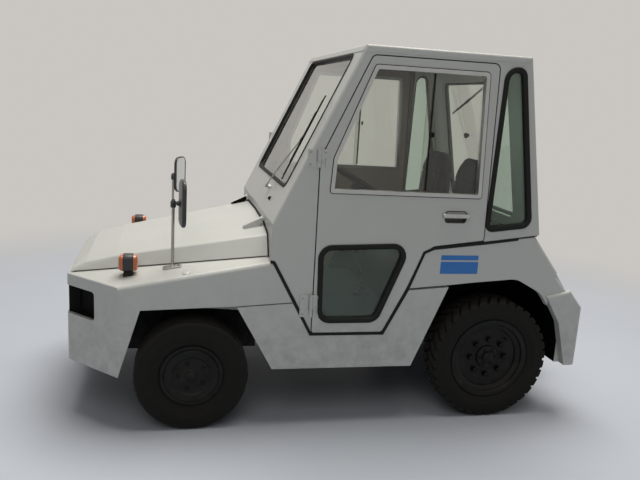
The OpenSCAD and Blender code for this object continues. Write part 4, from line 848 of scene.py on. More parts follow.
# Inner, under and hidden faces of the grey panels, and the seat box's faces in the rear wheel arches, go near
# black: painted shade over underseal
refinish(NODE_FINISH[ENAMEL], UNDERSEAL_AND_SHADE, under_or_behind)
refinish(["seat_box"], UNDERSEAL_AND_SHADE, in_wheel_arch)
refinish(["door_glass_left", "door_glass_right", "cab_glass"], GREEN_GLASS, in_green_window)

# Rubber seals round the windows. Sections are (outwards from the edge, out of the plane)
THICK_SEAL = [(0.013, -0.002), (0.013, 0.004), (0.009, 0.008), (-0.004, 0.009), (-0.012, 0.007),
              (-0.016, 0.002), (-0.016, -0.016), (-0.006, -0.020), (0.0, -0.020), (0.0, -0.002)]
THIN_SEAL = [(0.007, -0.001), (0.007, 0.003), (0.002, 0.005), (-0.006, 0.004), (-0.009, 0.000),
             (-0.009, -0.014), (0.0, -0.014), (0.0, -0.001)]
GASKET = [(0.0035, -0.001), (0.0035, 0.002), (0.0, 0.0035), (-0.001, 0.0035), (-0.001, -0.001)]


def make_seals():
    for name, plane, up, (width, low, high), radius, section in [
            ("windscreen_seal", SCREEN_PLANE, up_screen, SCREEN, 0.040, THIN_SEAL),
            ("rear_window_seal", BACK_PLANE, up_back, REAR_WINDOW, 0.050, THICK_SEAL)]:
        maker = bmesh.new()
        outline = rectangle(width, up(high) - up(low), (0, (up(low) + up(high)) / 2))
        add_strip(maker, plane, rounded(outline, [radius] * 4), section)
        piece(name, maker, SEAL_RUBBER)
    for side, word in SIDES:
        for name, outline, radii, section, body in [
                ("quarter_seal_", QUARTER_WINDOW, QUARTER_WINDOW_RADII, THICK_SEAL, "body"),
                ("low_window_seal_", LOW_WINDOW, LOW_WINDOW_RADII, THICK_SEAL, "door_" + word),
                ("window_gasket_", WINDOW, WINDOW_RADII, GASKET, "door_" + word)]:
            maker = bmesh.new()
            add_strip(maker, side_plane(side), rounded(outline, radii), section)
            piece(name + word, maker, SEAL_RUBBER, body)


make_seals()

# Strips in the body's seams, as (s, z) along its side. The cab's seam narrows from point SEAM_TURN on
CAB_SEAM = [(0.384, 0.914), (0.403, 0.911), (0.5195, 0.697), (0.6145, 0.5225), (1.0055, 0.5205),
            (1.1245, 0.7575), (1.2035, 0.968), (1.2595, 0.993), (1.560, 1.0265), (1.745, 1.0502),
            (1.857, 1.0645)]
SEAM_TURN = 9
SEAM_BEAD = [(-0.002, -0.012), (0.002, -0.012), (0.002, 0.0004), (0.0135, 0.0004), (0.0125, 0.0030),
             (0.003, 0.0045), (-0.002, 0.0030)]
NARROW_BEAD = [(-0.0024, -0.010), (0.0024, -0.010), (0.0024, 0.0012), (-0.0024, 0.0012)]
DOOR_BEAD = [(0.0008, -0.018), (0.0052, -0.018), (0.0052, -0.003), (0.0008, -0.003)]
# The hood's rear edge, as (y, z) from its left end to the middle
HOOD_REAR_S = 0.384
HOOD_PROFILE = [(0.622, 0.918), (0.556, 1.023), (0.380, 1.051), (0.0, 1.061)]
HOOD_CORNER_R = 0.020
HOOD_BEAD = [(-0.008, 0.0003), (0.012, 0.0003), (0.011, 0.0040), (0.004, 0.0055), (-0.008, 0.0048)]


def make_body_strips():
    for side, word in SIDES:
        plane = side_plane(side)
        maker = bmesh.new()
        add_strip(maker, plane, CAB_SEAM[:SEAM_TURN + 1], SEAM_BEAD, closed=False)
        add_strip(maker, plane, CAB_SEAM[SEAM_TURN:], NARROW_BEAD, closed=False)
        add_strip(maker, plane, rounded(DOOR, DOOR_RADII), DOOR_BEAD)
        piece("body_seam_strips_" + word, maker, SEAL_RUBBER)
    maker = bmesh.new()
    plane = Plane((FRONT_HUB.x - HOOD_REAR_S, 0, 0), (0, 1, 0), (0, 0, 1), (1, 0, 0))
    profile = HOOD_PROFILE + [(-y, z) for y, z in HOOD_PROFILE[-2::-1]]
    edge = [(p.x, p.y) for p in bent_in_space([(y, z, 0) for y, z in profile], HOOD_CORNER_R)]
    add_strip(maker, plane, edge, HOOD_BEAD, closed=False)
    piece("hood_seal", maker, SEAL_RUBBER)


make_body_strips()

# The two plain bars on each quarter panel, as (front, rear, foot, top)
BARS = [(1.306, 1.522, 0.924, 0.951), (1.306, 1.524, 0.848, 0.915)]


def make_bars():
    maker = bmesh.new()
    for side in (1, -1):
        for front, rear, foot, top in BARS:
            outline = rectangle(rear - front, top - foot, ((front + rear) / 2, (foot + top) / 2))
            add_slab(maker, side_plane(side), outline, 0.0002, 0.0008)
    piece("quarter_panel_bars", maker, BLUE_FILM)


make_bars()

# Wheels. Distances out are from a tyre's middle
FRONT_DISH_OUT = 0.0734
REAR_DISC_OUT = 0.044
REAR_HUB_OUT = 0.058
# Bolts in a ring: name, wheel, how many, the ring's radius, distance out, width across flats, height
WHEEL_BOLTS = [("front", "front", 5, 0.070, FRONT_DISH_OUT, 0.019, 0.006),
               ("rear", "rear", 8, 0.104, REAR_DISC_OUT, 0.030, 0.022),
               ("rear_hub", "rear", 6, 0.046, REAR_HUB_OUT, 0.013, 0.006)]
# Hub caps: wheel, distance out, profile of (radius, height)
HUB_CAPS = [("front", FRONT_DISH_OUT + 0.005, [(0.0, 0.0), (0.024, 0.0), (0.024, 0.002), (0.019, 0.007),
                                               (0.0, 0.009)]),
            ("rear", REAR_HUB_OUT, [(0.0, 0.0), (0.034, 0.0), (0.033, 0.010), (0.027, 0.015), (0.0, 0.017)])]
# Tyre valves, as (distance from the hub, distance out). They stand above and behind the hub, at 45 degrees
VALVES = {"front": (0.118, 0.078), "rear": (0.150, 0.050)}
VALVE = [(0.0, 0.0), (0.006, 0.0), (0.005, 0.008), (0.0035, 0.010), (0.0035, 0.020), (0.0045, 0.021),
         (0.0045, 0.027), (0.0, 0.028)]


def make_wheel_hardware():
    for side, word in SIDES:
        out = (0, side, 0)
        for name, end, count, radius, reach, across, height in WHEEL_BOLTS:
            maker = bmesh.new()
            add_hexagon(maker, (radius, side * reach, 0), out, across, height)
            repeated("wheel_nuts_%s_%s" % (name, word), maker, BLACK_STEEL, count,
                     joint_at["spin_%s_%s" % (end, word)], (0, 2 * math.pi / count, 0),
                     "wheel_%s_%s" % (end, word))
        for end, reach, profile in HUB_CAPS:
            hub = joint_at["spin_%s_%s" % (end, word)]
            body = "wheel_%s_%s" % (end, word)
            maker = bmesh.new()
            add_turned(maker, hub + Vector((0, side * reach, 0)), out, profile)
            piece("hub_cap_%s_%s" % (end, word), maker, WHEEL_ENAMEL, body)
            maker = bmesh.new()
            radius, reach = VALVES[end]
            foot = hub + Vector((-radius * 0.71, side * (reach - 0.004), radius * 0.71))
            add_turned(maker, foot, (0.3, side, -0.3), VALVE, 12)
            piece("tyre_valve_%s_%s" % (end, word), maker, SEAL_RUBBER, body)


make_wheel_hardware()


def quarter_turn():
    """The angles of a quarter turn in eight steps, without its start."""
    return [math.pi / 2 * k / 8 for k in range(1, 9)]


def make_headlamps():
    low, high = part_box("headlamps")
    radius = (high.z - low.z) / 2
    glass_r = radius - 0.009
    bowl_profile = [(0.030, 0.001), (radius - 0.014, 0.004), (radius - 0.002, 0.022), (radius - 0.002, 0.036),
                    (radius - 0.006, 0.036), (radius - 0.017, 0.008), (0.030, 0.005)]
    ring_profile = [(radius - 0.006, 0.030), (radius - 0.0005, 0.032), (radius - 0.0005, 0.040),
                    (radius - 0.003, 0.043), (radius - 0.008, 0.0435), (glass_r, 0.040)]
    reflector_profile = [(0.012, 0.010)] + [
        (0.012 + (radius - 0.022) * math.sin(a), 0.010 + 0.026 * (1 - math.cos(a)))
        for a in quarter_turn()] + [(radius - 0.008, 0.035), (0.013, 0.008)]
    lens_profile = [(glass_r, 0.037), (glass_r, 0.041)] + [
        (glass_r * math.cos(a), 0.041 + 0.011 * math.sin(a)) for a in quarter_turn()] + [
        (0.0, 0.048), (glass_r * 0.7, 0.044)]
    bowls, rings, reflectors, lenses = (bmesh.new() for _ in range(4))
    for side in (1, -1):
        centre = Vector((low.x, side * (high.y - radius), (low.z + high.z) / 2))
        for maker, profile in ((bowls, bowl_profile), (rings, ring_profile), (reflectors, reflector_profile),
                               (lenses, lens_profile)):
            add_turned(maker, centre, (1, 0, 0), profile, 48)
    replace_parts(piece("headlamp_bowls", bowls, GRILLE_ABS), "headlamps")
    piece("headlamp_rings", rings, CHROME)
    piece("headlamp_reflectors", reflectors, CHROME)
    piece("headlamp_lenses", lenses, LAMP_GLASS)


make_headlamps()

# The deck between hood and sides, as in the part's source: the height and s of its front outer corner, and
# how steeply it rises backwards and towards the middle
DECK_Z = 0.773
DECK_S = -0.367
DECK_RISE = 0.174
DECK_FALL = 0.168
# What stands on the deck, by (s, y)
SIGNAL = (-0.322, 0.562)
MIRROR = (-0.104, 0.560)
PLUG = (-0.037, 0.655)


def deck_z(s, y):
    """The deck's height at a place, on either side."""
    return DECK_Z + DECK_RISE * (s - DECK_S) + DECK_FALL * (SIDE_Y - y)


def deck_plane(s, y, side):
    """The deck at a place, with its first direction backwards and its second towards the middle."""
    back = Vector((-1, 0, DECK_RISE)).normalized()
    inwards = Vector((0, -side, DECK_FALL)).normalized()
    out = Vector((DECK_RISE, side * DECK_FALL, 1)).normalized()
    return Plane((FRONT_HUB.x - s, side * y, deck_z(s, y)), back, inwards, out)


SIGNAL_HEIGHT = 0.108
# A signal's outline from the front, as (across, height against its top), and the radii of its corners
SIGNAL_FRONT = [(-0.031, -0.086), (0.031, -0.086), (0.040, -0.001), (-0.040, -0.001)]
SIGNAL_RADII = [0.018, 0.018, 0.022, 0.022]
# Its sections, as (outwards from its outline, forwards): the housing, and the lens at each end of it
SIGNAL_BAND = [(-0.003, -0.026), (0.0, -0.024), (0.0012, -0.020), (0.0012, 0.020), (0.0, 0.024),
               (-0.003, 0.026)]
SIGNAL_LENS = [(-0.0025, 0.024), (-0.0025, 0.034), (-0.0045, 0.040), (-0.0090, 0.0445), (-0.0150, 0.0468)]
# Its rubber foot: length and width, and its section as (outwards, up from the deck)
SIGNAL_FOOT_SIZE = (0.054, 0.050)
SIGNAL_FOOT = [(0.0, 0.0004), (0.0, 0.004), (-0.006, 0.010), (-0.008, 0.026), (-0.004, 0.030)]


def make_signals():
    band, lenses, feet = (bmesh.new() for _ in range(3))
    s, y = SIGNAL
    top = deck_z(s, y) + SIGNAL_HEIGHT - 0.001
    outline = rounded([(across, top + height) for across, height in SIGNAL_FRONT], SIGNAL_RADII, 8)
    foot = rounded(rectangle(*SIGNAL_FOOT_SIZE), [0.014] * 4)
    for side in (1, -1):
        plane = Plane((FRONT_HUB.x - s, side * y, 0), (0, 1, 0), (0, 0, 1), (1, 0, 0))
        add_levels(band, plane, outline, SIGNAL_BAND)
        for end in (1, -1):
            add_levels(lenses, plane, outline, [(away, end * out) for away, out in SIGNAL_LENS])
        add_levels(feet, deck_plane(s, y, side), foot, SIGNAL_FOOT)
    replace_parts(piece("signal_housings", band, MIRROR_BACK), "front_signals")
    piece("signal_lenses", lenses, AMBER, smooth=50)
    piece("signal_feet", feet, SEAL_RUBBER)


make_signals()

# Mirrors: two heights above the ground, the head's reach, its (width, height), and the degrees that the left
# and the right one are turned in
MIRROR_POST_TOP = 1.196
MIRROR_HEAD_Z = 1.185
MIRROR_ARM_OUT = 0.062
MIRROR_HEAD = (0.150, 0.235)
MIRROR_TOE = {1: 7.0, -1: 25.0}
# The plate under each post: (length, width), thickness, and how far its two bolts are from the post
MIRROR_BASE = (0.096, 0.040)
MIRROR_BASE_TOP = 0.006
MIRROR_BOLT_AT = 0.035
# The clamp on the post and the ball joint behind the head, as (radius, height), and the head's shell, as
# (outwards from its outline, backwards)
MIRROR_CLAMP = [(0.0, 0.0), (0.0125, 0.0), (0.014, 0.003), (0.014, 0.030), (0.011, 0.034), (0.0085, 0.036),
                (0.0085, 0.042), (0.0, 0.042)]
MIRROR_BALL = [(0.0, -0.013), (0.007, -0.011), (0.012, -0.005), (0.013, 0.0), (0.012, 0.006), (0.016, 0.010),
               (0.0, 0.012)]
MIRROR_SHELL = [(-0.030, 0.0092), (-0.012, 0.010), (-0.003, 0.0135), (0.0, 0.018), (0.0, 0.028),
                (-0.002, 0.0308), (-0.006, 0.0308), (-0.007, 0.0285)]


def make_mirrors():
    posts, joints, heads, glasses, bolts = (bmesh.new() for _ in range(5))
    s, y = MIRROR
    x = FRONT_HUB.x - s
    foot = deck_z(s, y)
    post_height = MIRROR_POST_TOP - foot - 0.040
    post = [(0.0, 0.0), (0.017, 0.0), (0.015, 0.006), (0.0095, 0.012), (0.0078, 0.016), (0.0078, post_height),
            (0.0, post_height)]
    outline = rounded(rectangle(*MIRROR_HEAD), [0.048] * 4, 10)
    for side in (1, -1):
        deck = deck_plane(s, y, side)
        add_slab(posts, deck, rounded(rectangle(*MIRROR_BASE), [0.006] * 4), 0.0003, MIRROR_BASE_TOP, 0.0015)
        add_turned(posts, (x, side * y, foot + 0.002), (0, 0, 1), post, 24)
        for along in (-MIRROR_BOLT_AT, MIRROR_BOLT_AT):
            add_hexagon(bolts, deck.at(along, 0, MIRROR_BASE_TOP), deck.out, 0.012, 0.007)
        add_turned(joints, (x, side * y, MIRROR_POST_TOP - 0.042), (0, 0, 1), MIRROR_CLAMP, 24)
        ball = Vector((x - 0.024, side * (y + MIRROR_ARM_OUT), MIRROR_HEAD_Z))
        arm = [(x - 0.010, side * y, MIRROR_POST_TOP - 0.020),
               (x - 0.022, side * (y + 0.015), MIRROR_POST_TOP - 0.020),
               ball + Vector((0, -side * 0.014, 0.002)), ball]
        add_rod(joints, bent_in_space(arm, 0.008), 0.0065)
        toe = math.radians(MIRROR_TOE[side]) * side
        back = Vector((-math.cos(toe), -math.sin(toe), 0))
        across = Vector((-math.sin(toe), math.cos(toe), 0))
        add_turned(joints, ball, back, MIRROR_BALL, 24)
        head = Plane(ball, across, (0, 0, 1), back)
        add_levels(heads, head, outline, MIRROR_SHELL)
        add_slab(glasses, head, moved(outline, -0.0075), 0.0286, 0.0300, 0.0006)
    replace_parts(piece("mirror_posts", posts, ZINC), "mirrors")
    piece("mirror_base_bolts", bolts, ZINC)
    piece("mirror_clamps", joints, MIRROR_BACK)
    piece("mirror_heads", heads, MIRROR_BACK, smooth=50)
    piece("mirror_glasses", glasses, SILVER)


make_mirrors()


def make_fender_plugs():
    maker = bmesh.new()
    for side in (1, -1):
        deck = deck_plane(*PLUG, side)
        add_turned(maker, deck.at(0, 0, 0.0003), deck.out,
                   [(0.0, 0.0), (0.021, 0.0), (0.021, 0.0015), (0.017, 0.004), (0.0, 0.0045)], 28)
    piece("fender_plugs", maker, ENAMEL)


make_fender_plugs()

# Wipers. The front one: pivot by (y, z), blade upright at a y from one height to another
WIPER_PIVOT = (0.183, 1.222)
WIPER_BLADE = (0.500, 1.297, 1.741)
# The rear one, by (y, height over the roof)
REAR_WIPER_PIVOT = (0.250, -0.078)
REAR_WIPER_BLADE = ((-0.462, -0.323), (0.010, -0.163))
WIPER_BOSS = [(0.0, 0.0), (0.0135, 0.0), (0.0125, 0.008), (0.010, 0.012), (0.010, 0.020), (0.013, 0.022),
              (0.012, 0.029), (0.0, 0.0315)]
WASHER_NOZZLE = [(0.0, 0.0), (0.013, 0.0), (0.011, 0.004), (0.008, 0.011), (0.0, 0.013)]


def make_wiper(arms, blades, plane, pivot, low, high):
    """A wiper between two ends of its blade, all as (along, up) in a plane."""
    pivot, low, high = Vector(pivot), Vector(low), Vector(high)
    middle = (low + high) / 2
    length = (high - low).length
    along = (high - low).normalized()
    reach = (middle - pivot).normalized()
    beside = Vector((reach.y, -reach.x))
    add_turned(arms, plane.at(*pivot, 0.0004), plane.out, WIPER_BOSS, 24)
    for offset in (-0.006, 0.006):
        a = pivot + beside * offset
        b = middle + beside * offset * 0.6 - reach * 0.010
        line = [plane.at(*a, 0.0265), plane.at(*a.lerp(b, 0.35), 0.0315), plane.at(*b, 0.0300)]
        add_rod(arms, line, 0.0024, 8)
    # The blade's holder, its rubber, its spine, and at each end a yoke with a claw
    bars = [(middle - reach * 0.030, middle + reach * 0.008, 0.018, 0.027, 0.0335),
            (low, high, 0.0050, 0.0222, 0.0262), (low, high, 0.0135, 0.0258, 0.0280)]
    for end in (-1, 1):
        claw = middle + along * end * length * 0.30
        half = along * length * 0.15
        bars += [(middle, claw, 0.0130, 0.0285, 0.0325), (claw - half, claw + half, 0.0090, 0.0272, 0.0300)]
    for start, finish, width, under, over in bars:
        add_slab(blades, plane, straight_bar(start, finish, width), under, over)


def make_wipers():
    arms, blades, nozzle = (bmesh.new() for _ in range(3))
    y, low, high = WIPER_BLADE
    make_wiper(arms, blades, SCREEN_PLANE, (WIPER_PIVOT[0], up_screen(WIPER_PIVOT[1])), (y, up_screen(low)),
               (y, up_screen(high)))
    make_wiper(arms, blades, BACK_PLANE,
               *[(y, up_back(ROOF_Z + over)) for y, over in (REAR_WIPER_PIVOT,) + REAR_WIPER_BLADE])
    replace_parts(piece("wiper_arms", arms, ZINC), "wipers")
    piece("wiper_blades", blades, SEAL_RUBBER)
    add_turned(nozzle, SCREEN_PLANE.at(0.335, up_screen(1.180), 0.0003), SCREEN_PLANE.out, WASHER_NOZZLE, 20)
    piece("washer_nozzle", nozzle, GRAINED_ABS)


make_wipers()

# Rear lamps: the housing's width and its rim round the lenses, the gap between lenses, and their section as
# (outwards from the outline, backwards)
REAR_LAMP_WIDTH = 0.150
REAR_LAMP_RIM = 0.006
REAR_LENS_GAP = 0.002
REAR_LENS = [(0.0, 0.011), (0.0, 0.026), (-0.002, 0.0300), (-0.006, 0.0315)]


def make_rear_lamps():
    """Each lamp has three lenses in a row, with the red one on the outside."""
    low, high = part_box("rear_lamps")
    shells, red, amber, clear = (bmesh.new() for _ in range(4))
    inner = high.y - REAR_LAMP_WIDTH
    third = (REAR_LAMP_WIDTH - 2 * REAR_LAMP_RIM) / 3
    height = high.z - low.z
    z = (low.z + high.z) / 2
    for side in (1, -1):
        plane = Plane((high.x, 0, 0), (0, side, 0), (0, 0, 1), (-1, 0, 0))
        shell = rectangle(REAR_LAMP_WIDTH, height, (inner + REAR_LAMP_WIDTH / 2, z))
        add_slab(shells, plane, rounded(shell, [0.010] * 4), 0.0003, 0.012, 0.002)
        for maker, place in ((red, 2.5), (amber, 1.5), (clear, 0.5)):
            centre = (inner + REAR_LAMP_RIM + third * place, z)
            outline = rectangle(third - REAR_LENS_GAP, height - 0.010, centre)
            add_levels(maker, plane, rounded(outline, [0.006] * 4), REAR_LENS)
    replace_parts(piece("rear_lamp_housings", shells, GRAINED_ABS), "rear_lamps")
    piece("rear_lamp_stop", red, RED)
    piece("rear_lamp_turn", amber, AMBER)
    piece("rear_lamp_reverse", clear, LAMP_GLASS)


make_rear_lamps()

# A welded seam under the roof's edge, and up its rear corner
ROOF_SEAM = [(0.806, 1.9755), (1.628, 1.9755)]
ROOF_MITRE = [(1.652, 1.9625), (1.694, 1.9975)]
WELD_BEAD = [(-0.0016, 0.0002), (0.0016, 0.0002), (0.0010, 0.0012), (-0.0010, 0.0012)]


def make_roof_seams():
    maker = bmesh.new()
    for side in (1, -1):
        for line in (ROOF_SEAM, ROOF_MITRE):
            add_strip(maker, side_plane(side), line, WELD_BEAD, closed=False)
    piece("roof_weld_seams", maker, ENAMEL)


make_roof_seams()

# The driver's place. The dashboard's face leans between these points of (s, z)
DRIVER_Y = joint_at["steering_wheel_turn"].y
DASH_FACE = ((0.615, 1.000), (0.650, 1.225))
DASH_LEAN = math.atan2(DASH_FACE[1][0] - DASH_FACE[0][0], DASH_FACE[1][1] - DASH_FACE[0][1])
DASH_PLANE = Plane((FRONT_HUB.x - DASH_FACE[0][0], 0, DASH_FACE[0][1]), (0, 1, 0),
                   (-math.sin(DASH_LEAN), 0, math.cos(DASH_LEAN)),
                   (-math.cos(DASH_LEAN), 0, -math.sin(DASH_LEAN)))
# Gauges, as (y, radius), and switches stand in one row, at one height up the face
INSTRUMENT_ROW = 0.150
GAUGES = [(0.06, 0.040), (0.155, 0.030), (-0.035, 0.030)]
GAUGE_MARKS = 9
MARK_STEP = math.radians(30)
FIRST_MARK = math.radians(-210)
HAND_ANGLE = 2.6
SWITCHES = 5
FIRST_SWITCH_Y = -0.16
SWITCH_SIZE = (0.020, 0.034)
SWITCH_STEP = 0.034
SWITCH = [(0.002, 0.0004), (0.002, 0.002), (0.0, 0.0025), (0.0, 0.006), (-0.002, 0.0075)]


def make_gauges():
    bezels, faces, marks = (bmesh.new() for _ in range(3))
    for y, radius in GAUGES:
        centre = DASH_PLANE.at(y, INSTRUMENT_ROW)
        dial = Plane(centre, DASH_PLANE.across, DASH_PLANE.up, DASH_PLANE.out)
        glass_r = radius - 0.005
        add_turned(bezels, centre, dial.out, [(glass_r, 0.0005), (radius, 0.0005), (radius, 0.005),
                                              (radius - 0.003, 0.008), (glass_r, 0.006)], 40)
        add_turned(faces, centre, dial.out, [(0.0, 0.0006), (glass_r, 0.0006), (glass_r, 0.003),
                                             (0.0, 0.003)], 40)
        for k in range(GAUGE_MARKS):
            angle = FIRST_MARK + MARK_STEP * k
            along = Vector((math.cos(angle), math.sin(angle)))
            mark = straight_bar(along * (radius - 0.013), along * (radius - 0.008), 0.0020)
            add_slab(marks, dial, mark, 0.0029, 0.0034)
        hand = Vector((math.cos(HAND_ANGLE), math.sin(HAND_ANGLE)))
        tip = hand * (radius - 0.012)
        beside = Vector((hand.y, -hand.x)) * 0.0012
        outline = [tuple(corner) for corner in (-beside, tip - beside * 0.3, tip + beside * 0.3, beside)]
        add_slab(marks, dial, outline, 0.0032, 0.0038)
    piece("gauge_bezels", bezels, CHROME)
    piece("gauge_faces", faces, DIAL_FACE)
    piece("gauge_marks", marks, DIAL_WHITE)


def make_switches():
    maker = bmesh.new()
    for k in range(SWITCHES):
        centre = (FIRST_SWITCH_Y - SWITCH_STEP * k, INSTRUMENT_ROW)
        add_levels(maker, DASH_PLANE, rounded(rectangle(*SWITCH_SIZE, centre), [0.003] * 4, 3), SWITCH)
    piece("dash_switches", maker, GRAINED_ABS)


make_gauges()
make_switches()

FLOOR_THICKNESS = 0.016
FLOOR_TOP_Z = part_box("cab_floor")[0].z + FLOOR_THICKNESS
PEDAL_LEAN = math.radians(38)
PEDAL_LENGTH = 0.080
PEDAL_RIBS = 5
PEDAL_RIB_STEP = 0.014
# Pedals, as (s, y, z, width), and levers, as (foot (s, y), top (s, y, z))
PEDALS = [(0.590, DRIVER_Y - 0.085, 0.665, 0.062), (0.585, DRIVER_Y + 0.105, 0.650, 0.050)]
LEVERS = [((1.060, 0.030), (0.985, 0.055, 0.860)), ((1.095, -0.040), (1.035, -0.045, 0.800))]
LEVER_BOOT = [(0.0, 0.0), (0.050, 0.0), (0.050, 0.006), (0.036, 0.010), (0.040, 0.018), (0.028, 0.024),
              (0.031, 0.032), (0.020, 0.038), (0.022, 0.046), (0.010, 0.056), (0.0, 0.056)]
LEVER_KNOB = [(0.0, 0.0), (0.012, 0.0), (0.020, 0.010), (0.023, 0.022), (0.019, 0.036), (0.010, 0.044),
              (0.0, 0.046)]


def make_pedals_and_levers():
    pads, arms, boots, knobs = (bmesh.new() for _ in range(4))
    for s, y, z, width in PEDALS:
        x = FRONT_HUB.x - s
        plane = Plane((x, y, z), (0, 1, 0), (math.sin(PEDAL_LEAN), 0, math.cos(PEDAL_LEAN)),
                      (-math.cos(PEDAL_LEAN), 0, math.sin(PEDAL_LEAN)))
        add_slab(pads, plane, rounded(rectangle(width, PEDAL_LENGTH), [0.008] * 4), 0.0, 0.010, 0.003)
        for k in range(PEDAL_RIBS):
            up = PEDAL_RIB_STEP * (k - (PEDAL_RIBS - 1) / 2)
            add_slab(pads, plane, rectangle(width - 0.014, 0.004, (0, up)), 0.0095, 0.0120)
        line = [plane.at(0, 0.0, 0.001), plane.at(0, 0.02, -0.035), (x + 0.030, y, z + 0.120),
                (x + 0.060, y, z + 0.250)]
        add_rod(arms, bent_in_space(line, 0.020), 0.008)
    for (s0, y0), (s1, y1, z1) in LEVERS:
        foot = Vector((FRONT_HUB.x - s0, y0, FLOOR_TOP_Z))
        top = Vector((FRONT_HUB.x - s1, y1, z1))
        add_turned(boots, foot + Vector((0, 0, 0.0005)), (0, 0, 1), LEVER_BOOT, 28)
        line = [foot + Vector((0, 0, 0.050)), foot + Vector((0, 0, 0.110)), top]
        add_rod(arms, bent_in_space(line, 0.030), 0.0065)
        add_turned(knobs, top - Vector((0, 0, 0.012)), (0, 0, 1), LEVER_KNOB, 24)
    piece("pedal_pads", pads, SEAL_RUBBER)
    piece("pedal_and_lever_rods", arms, ZINC)
    piece("lever_boots", boots, SEAL_RUBBER)
    piece("lever_knobs", knobs, DIAL_FACE, smooth=60)


make_pedals_and_levers()

HORN_CAP = [(0.0, 0.0003), (0.034, 0.0003), (0.033, 0.005), (0.026, 0.010), (0.014, 0.0125), (0.0, 0.013)]


def make_horn_cap():
    axis = Vector(next(joint["axis"] for joint in frame["joints"] if joint["name"] == "steering_wheel_turn"))
    maker = bmesh.new()
    add_turned(maker, joint_at["steering_wheel_turn"] + axis * 0.002, axis, HORN_CAP, 36)
    piece("horn_cap", maker, SEAL_RUBBER, "steering_wheel")


make_horn_cap()

# Door fittings, by (s, z). Distances out are from the body's side
PANE_SPLIT_S = 1.185
PANE_STILE = [(PANE_SPLIT_S - 0.006, 1.292), (PANE_SPLIT_S + 0.004, 1.292), (PANE_SPLIT_S + 0.004, 1.893),
              (PANE_SPLIT_S - 0.006, 1.893)]
PANE_OUT = (-0.0185, -0.0110)
LATCH = (1.203, 1.585)
# The handle's pocket: s, z, width, height, depth
POCKET = (1.366, 1.160, 0.116, 0.058, 0.014)
BODY_HINGE_SCREWS = [(0.560, 1.412), (0.560, 1.474), (0.560, 0.632), (0.560, 0.716)]
DOOR_HINGE_SCREWS = [(0.636, 1.440), (0.636, 1.474), (0.636, 0.668), (0.636, 0.720)]
HINGE_OUT = 0.006
SCREW_HEAD = [(0.0, 0.0002), (0.0065, 0.0002), (0.005, 0.0024), (0.0, 0.0032)]


def make_sliding_pane_fittings(plane, word):
    """The stile where the door's two panes meet, and the latch that holds them."""
    stile, latch = bmesh.new(), bmesh.new()
    add_slab(stile, plane, PANE_STILE, *PANE_OUT, 0.0015)
    piece("pane_stile_" + word, stile, BLACK_STEEL, "door_" + word)
    add_slab(latch, plane, rounded(rectangle(0.012, 0.026, LATCH), [0.004] * 4, 3), -0.0228, -0.0140, 0.002)
    foot = rectangle(0.014, 0.030, (PANE_SPLIT_S - 0.001, LATCH[1]))
    add_slab(latch, plane, rounded(foot, [0.004] * 4, 3), -0.0112, -0.0070, 0.0015)
    piece("pane_latch_" + word, latch, GRAINED_ABS, "door_" + word)


def make_handle_pocket(plane, word):
    """A cup behind the handle, its dark grey painted shade, with a plate over its upper half."""
    pocket, plate = bmesh.new(), bmesh.new()
    s, z, width, height, depth = POCKET
    outline = rounded(rectangle(width, height, (s, z)), [0.014] * 4)
    add_levels(pocket, plane, outline, [(-0.0006, -depth + 0.0002), (-0.0006, 0.0002), (0.004, 0.0002),
                                        (0.004, 0.0016), (-0.0020, 0.0016), (-0.0020, -depth + 0.0015)])
    # The pocket's dark grey is painted shade in the recess
    piece("handle_pocket_" + word, pocket, DARK_ENAMEL_AND_POCKET_SHADE, "door_" + word)
    half = width / 2 - 0.003
    foot = z + 0.002
    top = z + height / 2 - 0.002
    outline = [(s - half, foot), (s + half, foot), (s + half, top), (s - half, top)]
    add_slab(plate, plane, outline, -0.003, 0.0012)
    piece("handle_plate_" + word, plate, ENAMEL, "door_" + word)


def make_door_fittings():
    for side, word in SIDES:
        plane = side_plane(side)
        make_sliding_pane_fittings(plane, word)
        make_handle_pocket(plane, word)
        for name, places, body in (("door_hinge_screws_", DOOR_HINGE_SCREWS, "door_" + word),
                                   ("body_hinge_screws_", BODY_HINGE_SCREWS, "body")):
            maker = bmesh.new()
            for s, z in places:
                add_turned(maker, plane.at(s, z, HINGE_OUT), plane.out, SCREW_HEAD, 14)
            piece(name + word, maker, ZINC, body)


make_door_fittings()

# The knob inside the rear window, by (y, z)
REAR_KNOB = (-0.126, 1.564)
KNOB = [(0.0, 0.0), (0.012, 0.0), (0.012, 0.010), (0.018, 0.014), (0.018, 0.022), (0.014, 0.026),
        (0.0, 0.026)]


def make_rear_window_knob():
    y, z = REAR_KNOB
    maker = bmesh.new()
    add_turned(maker, BACK_PLANE.at(y, up_back(z), -0.0195), -BACK_PLANE.out, KNOB, 20)
    piece("rear_window_knob", maker, GRAINED_ABS)


make_rear_window_knob()

# Seats: cushion and back of each, swelled by cloth simulation from forms a little smaller than the solids
CUSHION_LENGTH = 0.400
CUSHION_THICKNESS = 0.110
BACK_HEIGHT = 0.500
BACK_THICKNESS = 0.075
BACK_TILT = math.radians(6)
# The backrest's foot: how far behind the seat's front edge, how high over its underside, and how far back
# from there its pad starts
BACK_SETBACK = 0.410
BACK_FOOT_HEIGHT = 0.060
BACK_DEPTH = 0.040
CUSHION_RADII = [0.050, 0.050, 0.035, 0.035]
BACK_RADII = [0.022, 0.022, 0.150, 0.150]
# How the pads are made: the form's inset, the grid's step, the cloth's pressure and frames, and the most that
# a point may move
PAD_INSET = 0.012
VOXEL = 0.006
PRESSURE = 4.0
PAD_FRAMES = 20
SWELL_LIMIT = 0.020
